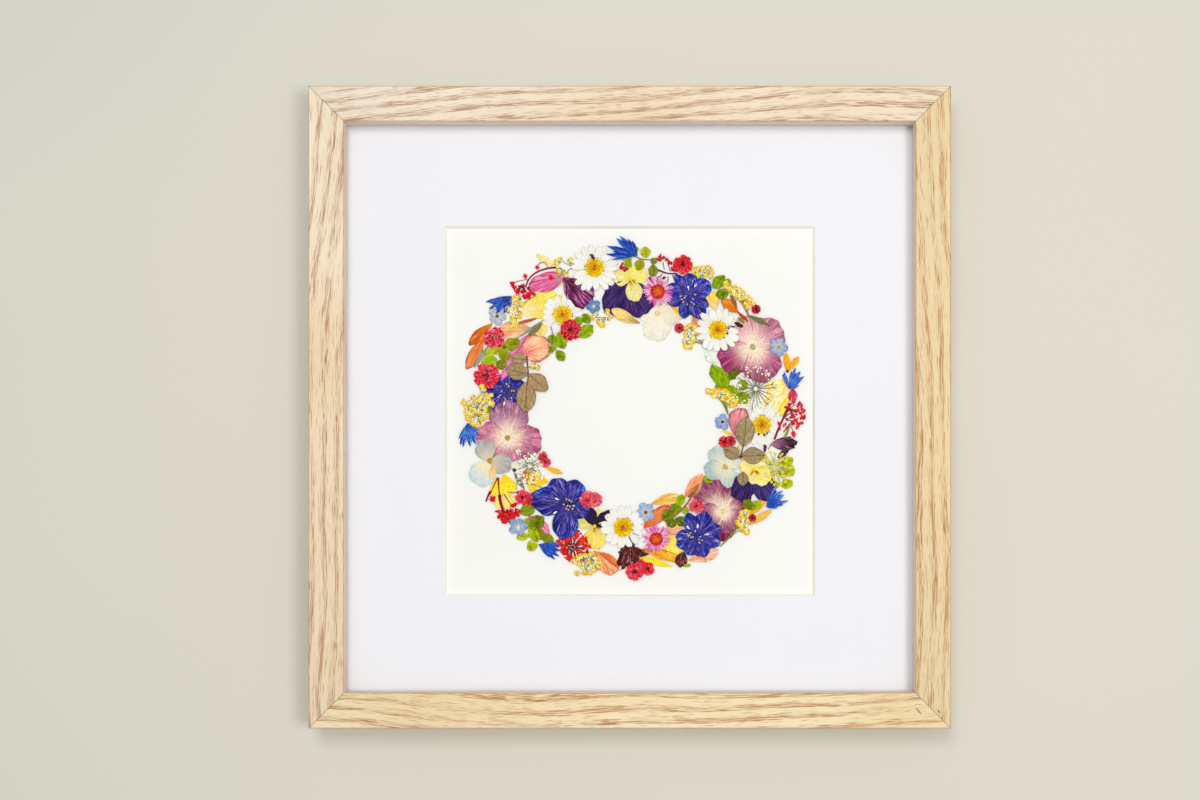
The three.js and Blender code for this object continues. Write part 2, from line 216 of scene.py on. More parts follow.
oak = {
    "ringMm": 6.4,          # one year's ring on a flat-sawn face
    "poreWidthMm": 0.28,    # oak's pores are about 0.3 mm wide; drawn coarser so that they show
    "poreLengthMm": 9.0,
    "fibreWidthMm": 0.34,
    "fibreLengthMm": 16.0,
    "easedMm": 0.5,
    "mitreMm": 0.2,
    "bowCentre": {"upright": 0.16, "level": -0.03},    # where the rings' bow peaks along a rail
    "waveSize": 0.015,
    "markTone": "5c3a1c",
    # burnished edges, oil in the mitres, and painted shade on the faces inside the opening: a greyer,
    # pinker tone that stands for the cool shade they sit in
    "wearAndShade": {"arris": (0.50, "b97f3c"), "joint": (0.95, "4a2c14"), "inner": (0.65, "e3d1c8")},
    # lean is the slope of the rings along the rail, arch how much they bow
    "rails": {
        "top": {"pale": "fbeed9", "gold": "f4dfc0", "pore": "b07a54", "seed": 0.31, "lean": -0.065,
                "arch": 0.16},
        "bottom": {"pale": "f6e4bc", "gold": "efd29c", "pore": "b4702e", "seed": 0.62, "lean": -0.012,
                   "arch": -0.2},
        "left": {"pale": "f8ead2", "gold": "efd8b4", "pore": "b07c56", "seed": 0.97, "lean": 0.026,
                 "arch": 0.12},
        "right": {"pale": "f0d9ac", "gold": "f0daae", "pore": "b47434", "seed": 1.24, "lean": -0.030,
                  "arch": -0.15},
    },
    # a nick and a pin knot as (x, z, tilt, length, width) in mm
    "marks": {"bottom": [(150.1, -317.9, 48, 5.4, 0.8), (159.8, -318.8, 20, 2.0, 1.4)],
              "right": [(160.6, -318.2, 60, 2.0, 1.0)]},
}


def darkMark(tree, place, x, z, tilt, length, width):    # a soft-edged oval on the rail's face
    local = addNode(tree, "Mapping", {"vector_type": "TEXTURE", "Location": (x * mm, 0, z * mm),
                                      "Rotation": (0, math.radians(tilt), 0),
                                      "Scale": (length * mm / 2, 1, width * mm / 2)}, {"Vector": place})
    flat = addNode(tree, "VectorMath", {"operation": "MULTIPLY", 1: (1, 0, 1)}, {0: local})
    away = addNode(tree, "VectorMath", {"operation": "LENGTH"}, {0: flat})
    mark = addNode(tree, "MapRange", {"From Min": 0.6, "From Max": 1.1, "To Min": 0.75, "To Max": 0.0},
                   {"Value": away.outputs["Value"]})
    return mark


def oakMaterial(side, wearAndShade=None):
    # planed oak under clear matt oil: pale gold, with bands of open pores that read as short brown dashes
    look = oak["rails"][side]
    upright = side in ("left", "right")
    material, tree = emptyMaterial("oiled_oak_" + side + ("_" + wearAndShade if wearAndShade else ""))
    place = addNode(tree, "TexCoord").outputs["Object"]
    turned = addNode(tree, "Mapping", {"Rotation": (0, math.pi / 2 if upright else 0, 0)},
                     {"Vector": place})
    parts = addNode(tree, "SeparateXYZ", {}, {0: turned})
    # rings lean and bow along the rail, and slow waves bend them
    centre = oak["bowCentre"]["upright" if upright else "level"]
    middle = addNode(tree, "Math", {"operation": "ADD", 1: centre}, {0: parts.outputs["X"]})
    square = addNode(tree, "Math", {"operation": "POWER", 1: 2.0}, {0: middle})
    bow = addNode(tree, "Math", {"operation": "MULTIPLY", 1: look["arch"]}, {0: square})
    leaning = addNode(tree, "Math", {"operation": "MULTIPLY_ADD", 1: look["lean"]}, {0: middle, 2: bow})
    slow = addNode(tree, "Mapping", {"Location": (look["seed"] * 9, 0, 0), "Scale": (8, 30, 30)},
                   {"Vector": turned})
    wander = addNode(tree, "TexNoise", {"Scale": 1.0, "Detail": 1.0, "Roughness": 0.4}, {"Vector": slow})
    waved = addNode(tree, "Math", {"operation": "MULTIPLY_ADD", 1: oak["waveSize"]},
                    {0: wander, 2: leaning})
    depth = addNode(tree, "Math", {"operation": "MULTIPLY_ADD", 1: 0.6},
                    {0: parts.outputs["Y"], 2: parts.outputs["Z"]})
    across = addNode(tree, "Math", {"operation": "ADD"}, {0: depth, 1: waved})
    count = addNode(tree, "Math", {"operation": "MULTIPLY", 1: 1 / (oak["ringMm"] * mm)}, {0: across})
    year = addNode(tree, "Math", {"operation": "FRACT"}, {0: count})
    start = addNode(tree, "MapRange", {"From Min": 0.0, "From Max": 0.10}, {"Value": year})
    fade = addNode(tree, "MapRange", {"From Min": 0.30, "From Max": 0.66, "To Min": 1.0, "To Max": 0.0},
                   {"Value": year})
    early = addNode(tree, "Math", {"operation": "MULTIPLY"}, {0: start, 1: fade})
    # pores are thin dashes that follow the rings and crowd into the early wood
    follow = addNode(tree, "CombineXYZ", {}, {0: parts.outputs["X"], 1: across, 2: parts.outputs["Y"]})
    wide, long = oak["poreWidthMm"] * mm, oak["poreLengthMm"] * mm
    dash = addNode(tree, "Mapping", {"Location": (look["seed"] * 40, 0, 0),
                                     "Scale": (1 / long, 1 / wide, 1 / wide)}, {"Vector": follow})
    dashes = addNode(tree, "TexNoise", {"Scale": 1.0, "Detail": 1.0, "Roughness": 0.5}, {"Vector": dash})
    wide, long = oak["fibreWidthMm"] * mm, oak["fibreLengthMm"] * mm
    comb = addNode(tree, "Mapping", {"Location": (look["seed"] * 23, 0, 0),
                                     "Scale": (1 / long, 1 / wide, 1 / wide)}, {"Vector": follow})
    fibre = addNode(tree, "TexNoise", {"Scale": 1.0, "Detail": 2.0, "Roughness": 0.6}, {"Vector": comb})
    fibres = addNode(tree, "MapRange", {"From Min": 0.45, "From Max": 0.57}, {"Value": fibre})
    broad = addNode(tree, "Mapping", {"Location": (0, look["seed"] * 70, 0), "Scale": (16, 120, 120)},
                    {"Vector": follow})
    clump = addNode(tree, "TexNoise", {"Scale": 1.0, "Detail": 1.0}, {"Vector": broad})
    density = addNode(tree, "MapRange", {"From Min": 0.32, "From Max": 0.52, "To Min": 0.5},
                      {"Value": clump})
    crowd = addNode(tree, "Math", {"operation": "MULTIPLY"}, {0: early, 1: density})
    lifted = addNode(tree, "Math", {"operation": "MULTIPLY_ADD", 1: 0.15}, {0: crowd, 2: dashes})
    pores = addNode(tree, "MapRange", {"From Min": 0.64, "From Max": 0.69}, {"Value": lifted})
    # tone drifts from pale to gold along the frame
    drift = addNode(tree, "TexNoise", {"Scale": 7.0, "Detail": 2.0}, {"Vector": turned})
    driftMask = addNode(tree, "MapRange", {"From Min": 0.36, "From Max": 0.64}, {"Value": drift})
    base = addNode(tree, "Mix", {"data_type": "RGBA", 6: colour(look["pale"]), 7: colour(look["gold"])},
                   {0: driftMask})
    banded = addNode(tree, "Math", {"operation": "MULTIPLY_ADD", 1: 0.30, 2: 0.06}, {0: crowd})
    ringTone = addNode(tree, "Math", {"operation": "MULTIPLY"}, {0: banded, 1: fibres})
    ringed = addNode(tree, "Mix", {"data_type": "RGBA", 7: colour(look["pore"])},
                     {0: ringTone, 6: base.outputs[2]})
    poreTone = addNode(tree, "Math", {"operation": "MULTIPLY", 1: 0.80}, {0: pores})
    wood = addNode(tree, "Mix", {"data_type": "RGBA", 7: colour(look["pore"])},
                   {0: poreTone, 6: ringed.outputs[2]})
    for mark in oak["marks"].get(side, []):
        wood = addNode(tree, "Mix", {"data_type": "RGBA", 7: colour(oak["markTone"])},
                       {0: darkMark(tree, place, *mark), 6: wood.outputs[2]})
    # edge wear and oiled mitres are the wood's own, and the faces inside the opening get painted shade
    if wearAndShade:
        share, tone = oak["wearAndShade"][wearAndShade]
        wood = addNode(tree, "Mix", {"data_type": "RGBA", 0: share, 7: colour(tone)}, {6: wood.outputs[2]})
    bump = addNode(tree, "Bump", {"Strength": 0.35, "Distance": 0.0002, "invert": True}, {"Height": pores})
    shader = addNode(tree, "BsdfPrincipled", {"Roughness": 0.55, "IOR": 1.45},
                     {"Base Color": wood.outputs[2], "Normal": bump})
    addNode(tree, "OutputMaterial", {}, {"Surface": shader})
    return material


def restored(node):    # a copy of a node's mesh with its loose triangles joined into faces again
    mesh = bmesh.new()
    mesh.from_mesh(nodes[node].data)
    bmesh.ops.remove_doubles(mesh, verts=mesh.verts, dist=1e-6)
    bmesh.ops.dissolve_limit(mesh, angle_limit=math.radians(1), verts=mesh.verts, edges=mesh.edges)
    return mesh


def easeEdges(mesh, shortest, width, segments, longest=1.0):
    sharp = [e for e in mesh.edges if len(e.link_faces) == 2 and e.calc_face_angle() > math.radians(20)
             and shortest <= e.calc_length() <= longest]
    bmesh.ops.bevel(mesh, geom=sharp, offset=width, offset_type="OFFSET", segments=segments, profile=0.5,
                    affect="EDGES", material=-1, clamp_overlap=True)


def finishPiece(mesh, name, materials, node=None, sharpAngle=40):
    data = bpy.data.meshes.new(name)
    mesh.to_mesh(data)
    mesh.free()
    for polygon in data.polygons:
        polygon.use_smooth = True
    data.set_sharp_from_angle(angle=math.radians(sharpAngle))
    for material in materials:
        data.materials.append(material)
    piece = link(name, data)
    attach(piece, "root")
    if node:
        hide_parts(node)


def makeRails():
    for side in oak["rails"]:
        mesh = restored("rail_" + side)
        easeEdges(mesh, 0.2, oak["easedMm"] * mm, segments=3)
        easeEdges(mesh, 0.02, oak["mitreMm"] * mm, segments=1, longest=0.04)
        for part in mesh.faces:
            square = max(abs(part.normal.x), abs(part.normal.y), abs(part.normal.z))
            slanted = abs(abs(part.normal.x) - abs(part.normal.z)) < 0.05 and abs(part.normal.x) > 0.2
            mitre = slanted and abs(part.normal.y) < 0.01
            # faces that turn towards the opening take the painted shade tone
            toMiddle = windowCentre - part.calc_center_median()
            inward = abs(part.normal.y) < 0.1 and part.normal.dot(toMiddle) > 0
            flat = 3 if inward else 0
            part.material_index = flat if square > 0.98 or mitre else 2 if slanted else 1
        looks = [oakMaterial(side, wearAndShade) for wearAndShade in (None, "arris", "joint", "inner")]
        finishPiece(mesh, "rail_" + side + "_oak", looks, "rail_" + side)


def paperMaterial(name, face, fibre, roughness):
    # calendered paper or board: even and matt, with a trace of felted fibre
    material, tree = emptyMaterial(name)
    place = addNode(tree, "TexCoord").outputs["Object"]
    felt = addNode(tree, "TexNoise", {"Scale": 1 / (0.9 * mm), "Detail": 3.0}, {"Vector": place})
    cloud = addNode(tree, "TexNoise", {"Scale": 18.0, "Detail": 2.0}, {"Vector": place})
    both = addNode(tree, "Math", {"operation": "MULTIPLY"}, {0: felt, 1: cloud})
    tone = addNode(tree, "Mix", {"data_type": "RGBA", 6: colour(face), 7: colour(fibre)}, {0: both})
    bump = addNode(tree, "Bump", {"Strength": 0.12, "Distance": 0.00005}, {"Height": felt})
    shader = addNode(tree, "BsdfPrincipled", {"Roughness": roughness},
                     {"Base Color": tone.outputs[2], "Normal": bump})
    addNode(tree, "OutputMaterial", {}, {"Surface": shader})
    return material


def makeSheets():
    face = paperMaterial("white_mat_board", "f1f2f7", "ecedf4", 0.85)
    core = paperMaterial("cream_board_core", "faf6ea", "f4efe0", 0.9)
    mesh = restored("window_mat")
    for part in mesh.faces:
        part.material_index = 1 if 0.2 < abs(part.normal.y) < 0.97 else 0
    finishPiece(mesh, "window_mat_board", [face, core], "window_mat", 20)
    nodes["mounting_sheet"].data.materials.clear()
    nodes["mounting_sheet"].data.materials.append(paperMaterial("mounting_paper", "f8f8f5", "f3f2ec", 0.8))


def glazingMaterial():
    # float glass: clear, a faint sharp reflection that grows at a slant
    material, tree = emptyMaterial("clear_float_glass")
    clear = addNode(tree, "BsdfTransparent", {"Color": colour("ffffff")})
    gloss = addNode(tree, "BsdfGlossy", {"Color": colour("ffffff"), "Roughness": 0.02})
    # low-reflection picture glass, and only its outer face reflects
    edge = addNode(tree, "Fresnel", {"IOR": 1.22})
    facing = addNode(tree, "NewGeometry")
    shine = addNode(tree, "Mix", {3: 0.0}, {0: facing.outputs["Backfacing"], 2: edge})
    both = addNode(tree, "MixShader", {}, {0: shine, 1: clear, 2: gloss})
    addNode(tree, "OutputMaterial", {}, {"Surface": both})
    return material


def hardboardMaterial():
    # pressed hardboard: dark brown, felted flecks, a slight sheen from the press
    material, tree = emptyMaterial("pressed_hardboard")
    place = addNode(tree, "TexCoord").outputs["Object"]
    stretch = addNode(tree, "Mapping", {"Scale": (1, 1, 2.2)}, {"Vector": place})
    fleck = addNode(tree, "TexNoise", {"Scale": 1 / (1.6 * mm), "Detail": 5.0, "Roughness": 0.7},
                    {"Vector": stretch})
    mask = addNode(tree, "MapRange", {"From Min": 0.35, "From Max": 0.68}, {"Value": fleck})
    tone = addNode(tree, "Mix", {"data_type": "RGBA", 6: colour("8a5c36"), 7: colour("a9794c")}, {0: mask})
    bump = addNode(tree, "Bump", {"Strength": 0.4, "Distance": 0.0001}, {"Height": fleck})
    shader = addNode(tree, "BsdfPrincipled", {"Roughness": 0.55},
                     {"Base Color": tone.outputs[2], "Normal": bump})
    addNode(tree, "OutputMaterial", {}, {"Surface": shader})
    return material


def plateMaterial(name, tone, dull, roughness):
    # stamped strip with a thin plated coat: bright metal, faint drawing lines, dull patches
    material, tree = emptyMaterial(name)
    place = addNode(tree, "TexCoord").outputs["Object"]
    patch = addNode(tree, "TexNoise", {"Scale": 1 / (2.5 * mm), "Detail": 3.0}, {"Vector": place})
    metal = addNode(tree, "Mix", {"data_type": "RGBA", 6: colour(tone), 7: colour(dull)}, {0: patch})
    lines = addNode(tree, "Mapping", {"Scale": (1, 1, 14)}, {"Vector": place})
    drawn = addNode(tree, "TexNoise", {"Scale": 1 / (2.0 * mm), "Detail": 2.0}, {"Vector": lines})
    rough = addNode(tree, "MapRange", {"To Min": roughness - 0.08, "To Max": roughness + 0.12},
                    {"Value": drawn})
    bump = addNode(tree, "Bump", {"Strength": 0.15, "Distance": 0.00005}, {"Height": drawn})
    shader = addNode(tree, "BsdfPrincipled", {"Metallic": 1.0},
                     {"Base Color": metal.outputs[2], "Roughness": rough, "Normal": bump})
    addNode(tree, "OutputMaterial", {}, {"Surface": shader})
    return material


def makeFittings():
    steel = plateMaterial("zinc_plated_steel", "c9ccce", "a3a7aa", 0.38)
    brass = plateMaterial("brassed_steel", "d6ab55", "b98c3c", 0.32)
    for name in nodes:
        if name.startswith("tab_") or name.startswith("hanger"):
            mesh = restored(name)
            easeEdges(mesh, 0.0004, 0.08 * mm, segments=1)
            metal, slot = (brass, "hanger_brass") if name.startswith("hanger") else (steel, "tab_steel")
            finishPiece(mesh, name + "_plated", [metal], name, 30)
    for name, material in (("glazing", glazingMaterial()), ("backing_board", hardboardMaterial())):
        nodes[name].data.materials.clear()
        nodes[name].data.materials.append(material)


makeRails()
makeSheets()
makeFittings()
print("frame, mat, paper, glazing and fittings are finished")


# how each kind of dried tissue looks

usualTissue = {
    # reach and soft are shares of the petal's length, grey is how much of the veins is plain shade, and
    # gain is how the dried tissue shifts a drawn tint
    "reach": 0.30, "soft": 0.34, "fray": 1.4, "grey": 0.4, "blotch": 0.0, "alpha": 1.0, "roughness": 0.72,
    "specular": 0.3, "bump": 0.8, "mottle": 0.14,
}
tissues = {
    "daisy_ray": {    # thin white straps, faintly creamy at the foot, with grooves, and painted grey shade along their rims where the rays meet
        "reach": 0.25, "soft": 0.25, "fray": 1.0, "veins": 5, "veinDark": 0.16, "grey": 1.0,
        "mottle": 0.05, "rimDarkAndShade": 0.30, "alpha": 0.95, "roughness": 0.75, "specular": 0.4, "bump": 0.6,
        "gain": (1.03, 1.03, 1.02)},
    "hydrangea_sepal": {    # papery, pale star from the eye, fanned veins, grainy colour
        "reach": 0.40, "soft": 0.30, "fray": 1.7, "veins": 8, "veinDark": 0.42, "mottle": 0.24,
        "rimDarkAndShade": 0.14, "blotch": 0.12, "alpha": 0.96, "roughness": 0.8, "specular": 0.25, "bump": 0.9,
        "gain": (1.22, 0.97, 0.84), "rim": (0.20, "8c3a78")},
    "pale_sepal": {    # bleached sepal: cream to grey-blue, hardly veined
        "reach": 0.55, "soft": 0.36, "fray": 0.8, "veins": 7, "veinDark": 0.22, "mottle": 0.10,
        "rimDarkAndShade": 0.05, "blotch": 0.15, "alpha": 0.93, "roughness": 0.8, "bump": 0.5,
        "gain": (1.05, 1.04, 1.0), "rim": (0.15, "b4ccd4")},
    "larkspur_sepal": {    # deep violet-blue, velvety, greyish inside a clear blue rim, with darker folds, painted violet sheen along its streaks and painted contact shade at its edges
        "reach": 0.40, "soft": 0.40, "fray": 1.6, "veins": 4.5, "veinDark": 0.62, "mottle": 0.30,
        "rimDarkAndShade": 0.75, "blotch": 0.5, "roughness": 0.7, "specular": 0.5, "bump": 1.0,
        "gain": (1.62, 1.48, 1.24), "rim": (0.20, "2f50c8"), "streakTintAndSheen": (0.40, "7a70c8")},
    "viola_petal": {    # smooth and even, dark lines towards the eye
        "reach": 0.26, "soft": 0.22, "veins": 5, "veinDark": 0.26, "rimDarkAndShade": 0.16, "blotch": 0.12,
        "alpha": 0.98, "specular": 0.35, "bump": 0.7, "gain": (1.08, 1.08, 0.9)},
    "crinkled_petal": {    # carnation and celosia: crushed, with painted highlights on the crests and rims and painted shade in the clefts
        "reach": 0.40, "soft": 0.30, "fray": 2.0, "veins": 3.5, "veinDark": 0.90, "mottle": 0.50,
        "rimDarkAndShade": 0.0, "blotch": 0.35, "roughness": 0.75, "specular": 0.1, "bump": 1.0,
        "gain": (1.5, 1.12, 1.05), "rim": (0.25, "f8506c"), "streakTintAndSheen": (0.36, "ff8c9e")},
    "plum_petal": {    # dark crushed petal: purple to maroon, nearly black rim, pale streaks
        "reach": 0.34, "fray": 2.2, "veins": 4, "veinDark": 0.60, "mottle": 0.36, "rimDarkAndShade": 0.20,
        "blotch": 0.50, "bump": 1.0, "gain": (1.15, 1.05, 1.05), "rim": (0.75, "3a0a28"),
        "streakTintAndSheen": (0.55, "e2bfd0")},
    "loose_petal": {    # soft strap petals, streaked from foot to tip
        "fray": 1.6, "veins": 6, "veinDark": 0.42, "mottle": 0.16, "rimDarkAndShade": 0.22, "blotch": 0.30,
        "alpha": 0.98, "specular": 0.15, "gain": (1.28, 1.25, 1.12), "streakTintAndSheen": (0.26, "fbeacc")},
    "edged_petal": {    # rose petal that dried darker along its rim
        "reach": 0.34, "veins": 7, "veinDark": 0.30, "rimDarkAndShade": 0.10, "blotch": 0.25, "alpha": 0.98,
        "specular": 0.15, "gain": (1.22, 1.18, 1.08), "rim": (0.75, "a4343c"), "streakTintAndSheen": (0.40, "f8c47c")},
    "blue_ray": {    # cornflower florets: saturated blue, painted highlights along the ridges, dark foot
        "veins": 3, "veinDark": 0.60, "mottle": 0.24, "rimDarkAndShade": 0.25, "blotch": 0.2, "roughness": 0.7,
        "specular": 0.35, "bump": 0.9, "gain": (1.25, 1.5, 1.25), "streakTintAndSheen": (0.60, "8aa6ee")},
    "green_leaf": {    # thin clover-like leaf: yellow-green, midrib and brown specks
        "reach": 0.0, "soft": 0.1, "fray": 1.0, "veins": 6, "veinDark": 0.26, "mottle": 0.22,
        "rimDarkAndShade": 0.24, "blotch": 0.85, "roughness": 0.7, "specular": 0.08, "bump": 0.7,
        "gain": (1.66, 1.26, 0.20), "midrib": 0.34, "net": 0.18},
    "rose_leaf": {    # dried rose leaflet: tan underside, net of veins, dark rim line
        "reach": 0.0, "soft": 0.1, "fray": 1.0, "veins": 7, "veinDark": 0.16, "mottle": 0.16,
        "rimDarkAndShade": 0.55, "blotch": 0.35, "roughness": 0.8, "gain": (1.22, 1.12, 1.22), "midrib": 0.50,
        "net": 0.28},
    "grainy": {    # pollen, buds and florets: small lumps, each with its own tone
        "reach": 0.0, "soft": 0.1, "fray": 1.0, "veins": 6, "veinDark": 0.0, "mottle": 0.35,
        "rimDarkAndShade": 0.0, "roughness": 0.85, "specular": 0.12, "bump": 0.5, "gain": (1.12, 1.08, 0.95)},
}


def tissueMaterial(name, ownLook):
    look = {**usualTissue, **ownLook}
    material, tree = emptyMaterial("dried_" + name)
    place = addNode(tree, "TexCoord").outputs["Object"]
    petalMap = addNode(tree, "UVMap", {"uv_map": "petalMap"})
    tint = addNode(tree, "Attribute", {"attribute_name": "petalTint"})
    heart = addNode(tree, "Attribute", {"attribute_name": "petalHeart"})
    fromFoot = addNode(tree, "VectorMath", {"operation": "SUBTRACT", 1: (0, 0.5, 0)}, {0: petalMap})
    fromMiddle = addNode(tree, "VectorMath", {"operation": "SUBTRACT", 1: (0.5, 0.5, 0)}, {0: petalMap})
    reach = addNode(tree, "VectorMath", {"operation": "LENGTH"}, {0: fromFoot})
    ring = addNode(tree, "VectorMath", {"operation": "LENGTH"}, {0: fromMiddle})
    parts = addNode(tree, "SeparateXYZ", {}, {0: fromFoot})
    turn = addNode(tree, "Math", {"operation": "ARCTAN2"}, {0: parts.outputs["Y"], 1: parts.outputs["X"]})
    # streaks fan out from the foot, and object coordinates make them differ from petal to petal
    fan = addNode(tree, "CombineXYZ", {}, {0: turn, 1: reach.outputs["Value"]})
    spread = addNode(tree, "VectorMath", {"operation": "MULTIPLY", 1: (look["veins"] * 2, 1.6, 1)},
                     {0: fan})
    own = addNode(tree, "VectorMath", {"operation": "SCALE", "Scale": 60.0}, {0: place})
    mixed = addNode(tree, "VectorMath", {"operation": "ADD"}, {0: spread, 1: own})
    streak = addNode(tree, "TexNoise", {"Scale": 1.0, "Detail": 3.0, "Roughness": 0.7}, {"Vector": mixed})
    grain = addNode(tree, "TexNoise", {"Scale": 1 / (1.1 * mm), "Detail": 3.0, "Roughness": 0.65},
                    {"Vector": place})
    patch = addNode(tree, "TexNoise", {"Scale": 1 / (3.6 * mm), "Detail": 2.0}, {"Vector": place})
    # the heart colour starts at the foot and frays along the streaks
    frayed = addNode(tree, "Math", {"operation": "MULTIPLY_ADD", 1: look["fray"], 2: -look["fray"] / 2},
                     {0: streak})
    edge = addNode(tree, "Math", {"operation": "ADD"}, {0: reach.outputs["Value"], 1: frayed})
    heartMask = addNode(tree, "MapRange", {
        "interpolation_type": "SMOOTHSTEP", "From Min": look["reach"] - look["soft"],
        "From Max": look["reach"] + look["soft"], "To Min": 1.0 if look["reach"] else 0.0, "To Max": 0.0},
        {"Value": edge})
    blotchMask = addNode(tree, "MapRange", {"From Min": 0.56, "From Max": 0.66, "To Max": look["blotch"]},
                         {"Value": patch})
    heartShare = addNode(tree, "Math", {"operation": "MAXIMUM"}, {0: heartMask, 1: blotchMask})
    body = addNode(tree, "Mix", {"data_type": "RGBA"}, {0: heartShare, 6: tint, 7: heart})
    # rims have their own colour, and a rim fades towards the foot; pale streaks are partly the tissue's own
    # tint and partly painted sheen
    outer = addNode(tree, "MapRange", {"From Min": 0.25, "From Max": 0.45},
                    {"Value": reach.outputs["Value"]})
    border = addNode(tree, "Math", {"operation": "MULTIPLY"}, {0: ring.outputs["Value"], 1: outer})
    for key, low, high, source in (("rim", 0.39, 0.48, border), ("streakTintAndSheen", 0.57, 0.70, streak)):
        if key in look:
            mask = addNode(tree, "MapRange", {"From Min": low, "From Max": high, "To Max": look[key][0]},
                           {"Value": source})
            body = addNode(tree, "Mix", {"data_type": "RGBA", 7: colour(look[key][1])},
                           {0: mask, 6: body.outputs[2]})
    # a thick vein soaks up more of each colour than the thin skin beside it
    dark, grey = look["veinDark"], look["grey"]
    deep = addNode(tree, "MapRange", {"From Min": 0.38, "From Max": 0.60, "To Min": 1 + dark * 1.6,
                                      "To Max": 1 - dark * 0.5}, {"Value": streak})
    soaked = addNode(tree, "Gamma", {}, {"Color": body.outputs[2], "Gamma": deep})
    # veins, grain, midrib and net also darken it, and the rim is darkened partly as the tissue's own darker
    # edge and partly as painted contact shade where pieces meet
    veinTone = addNode(tree, "MapRange", {"From Min": 0.38, "From Max": 0.60, "To Min": 1 - dark * grey,
                                          "To Max": 1 + dark * grey * 0.5}, {"Value": streak})
    grainTone = addNode(tree, "MapRange", {"From Min": 0.34, "From Max": 0.64, "To Min": 1 - look["mottle"],
                                           "To Max": 1 + look["mottle"] * 0.6}, {"Value": grain})
    # painted contact shade, with the tissue's own darker edge, along each piece's rim
    rimDarkAndShadeTone = addNode(tree, "MapRange", {"From Min": 0.43, "From Max": 0.5, "To Min": 1.0,
                                         "To Max": 1 - look["rimDarkAndShade"]}, {"Value": border})
    tones = [veinTone, grainTone, rimDarkAndShadeTone]
    if "midrib" in look:
        aside = addNode(tree, "Math", {"operation": "ABSOLUTE"}, {0: parts.outputs["Y"]})
        rib = addNode(tree, "MapRange", {"From Min": 0.012, "From Max": 0.045, "To Min": 1 - look["midrib"],
                                         "To Max": 1.0}, {"Value": aside})
        slant = addNode(tree, "Math", {"operation": "MULTIPLY_ADD", 1: -0.9},
                        {0: aside, 2: parts.outputs["X"]})
        combed = addNode(tree, "Math", {"operation": "MULTIPLY", 1: 44.0}, {0: slant})
        side = addNode(tree, "Math", {"operation": "SINE"}, {0: combed})
        sideTone = addNode(tree, "MapRange", {"From Min": 0.7, "From Max": 1.0, "To Min": 1.0,
                                              "To Max": 1 - look["midrib"] * 0.35}, {"Value": side})
        tones += [rib, sideTone]
    if "net" in look:
        cells = addNode(tree, "TexVoronoi", {"feature": "DISTANCE_TO_EDGE", "Scale": 1 / (1.7 * mm)},
                        {"Vector": place})
        netTone = addNode(tree, "MapRange", {"From Max": 0.16, "To Min": 1 - look["net"], "To Max": 1.0},
                          {"Value": cells})
        tones.append(netTone)
    tone = tones[0]
    for part in tones[1:]:
        tone = addNode(tree, "Math", {"operation": "MULTIPLY"}, {0: tone, 1: part})
    shaded = addNode(tree, "VectorMath", {"operation": "SCALE"}, {0: soaked, "Scale": tone})
    shifted = addNode(tree, "VectorMath", {"operation": "MULTIPLY", 1: look["gain"]}, {0: shaded})
    final = addNode(tree, "VectorMath", {"operation": "MINIMUM", 1: (0.98, 0.98, 0.98)}, {0: shifted})
    relief = addNode(tree, "Math", {"operation": "ADD"}, {0: streak, 1: grain})
    bump = addNode(tree, "Bump", {"Strength": look["bump"], "Distance": 0.0002}, {"Height": relief})
    shader = addNode(tree, "BsdfPrincipled", {"Roughness": look["roughness"], "Alpha": look["alpha"],
                                              "IOR": 1.4, "Specular IOR Level": look["specular"]},
                     {"Base Color": final, "Normal": bump})
    addNode(tree, "OutputMaterial", {}, {"Surface": shader})
    return material


tissue = {name: tissueMaterial(name, look) for name, look in tissues.items()}

# outlines: neck is the foot's share of the width, shoulder is where the full width starts, and waves and
# ruffle shape the edge
formKeys = ("neck", "shoulder", "point", "notch", "ruffle", "waves", "crumple", "sway")
formRows = {
    "ray": (0.30, 0.75, 0.25, 0.0, 0.02, 3, 0.10, 0.05),
    "daisy": (0.50, 0.5, 0.05, 0.07, 0.03, 3, 0.10, 0.07),
    "broad": (0.35, 0.7, 0.0, 0.02, 0.03, 4, 0.14, 0.03),
    "sepal": (0.38, 0.52, 0.05, 0.03, 0.035, 5, 0.14, 0.02),
    "spur": (0.35, 0.62, 0.12, 0.0, 0.03, 3, 0.16, 0.05),
    "strap": (0.6, 0.5, 0.2, 0.0, 0.04, 5, 0.12, 0.04),
    "shell": (0.18, 0.85, 0.15, 0.0, 0.01, 3, 0.10, 0.12),
    "crinkled": (0.4, 0.55, 0.0, 0.05, 0.08, 6, 0.26, 0.03),
    "frill": (0.35, 0.7, -0.2, 0.08, 0.10, 7, 0.24, 0.05),
    "leaf": (0.5, 0.5, 0.12, 0.0, 0.04, 5, 0.12, 0.03),
    "leaflet": (0.55, 0.42, 0.42, 0.0, 0.02, 6, 0.10, 0.02),
    "floret": (0.30, 0.80, 0.72, 0.0, 0.02, 3, 0.12, 0.10),
    "lobe": (0.16, 1.0, 0.50, 0.0, 0.03, 3, 0.12, 0.06),
    "pointed": (0.4, 0.55, 0.6, 0.0, 0.015, 4, 0.08, 0.02),
}
petalForms = {name: dict(zip(formKeys, row)) for name, row in formRows.items()}


def newSpecimen():
    mesh = bmesh.new()
    mesh.loops.layers.uv.new("petalMap")
    mesh.verts.layers.float_color.new("petalTint")
    mesh.verts.layers.float_color.new("petalHeart")
    return mesh


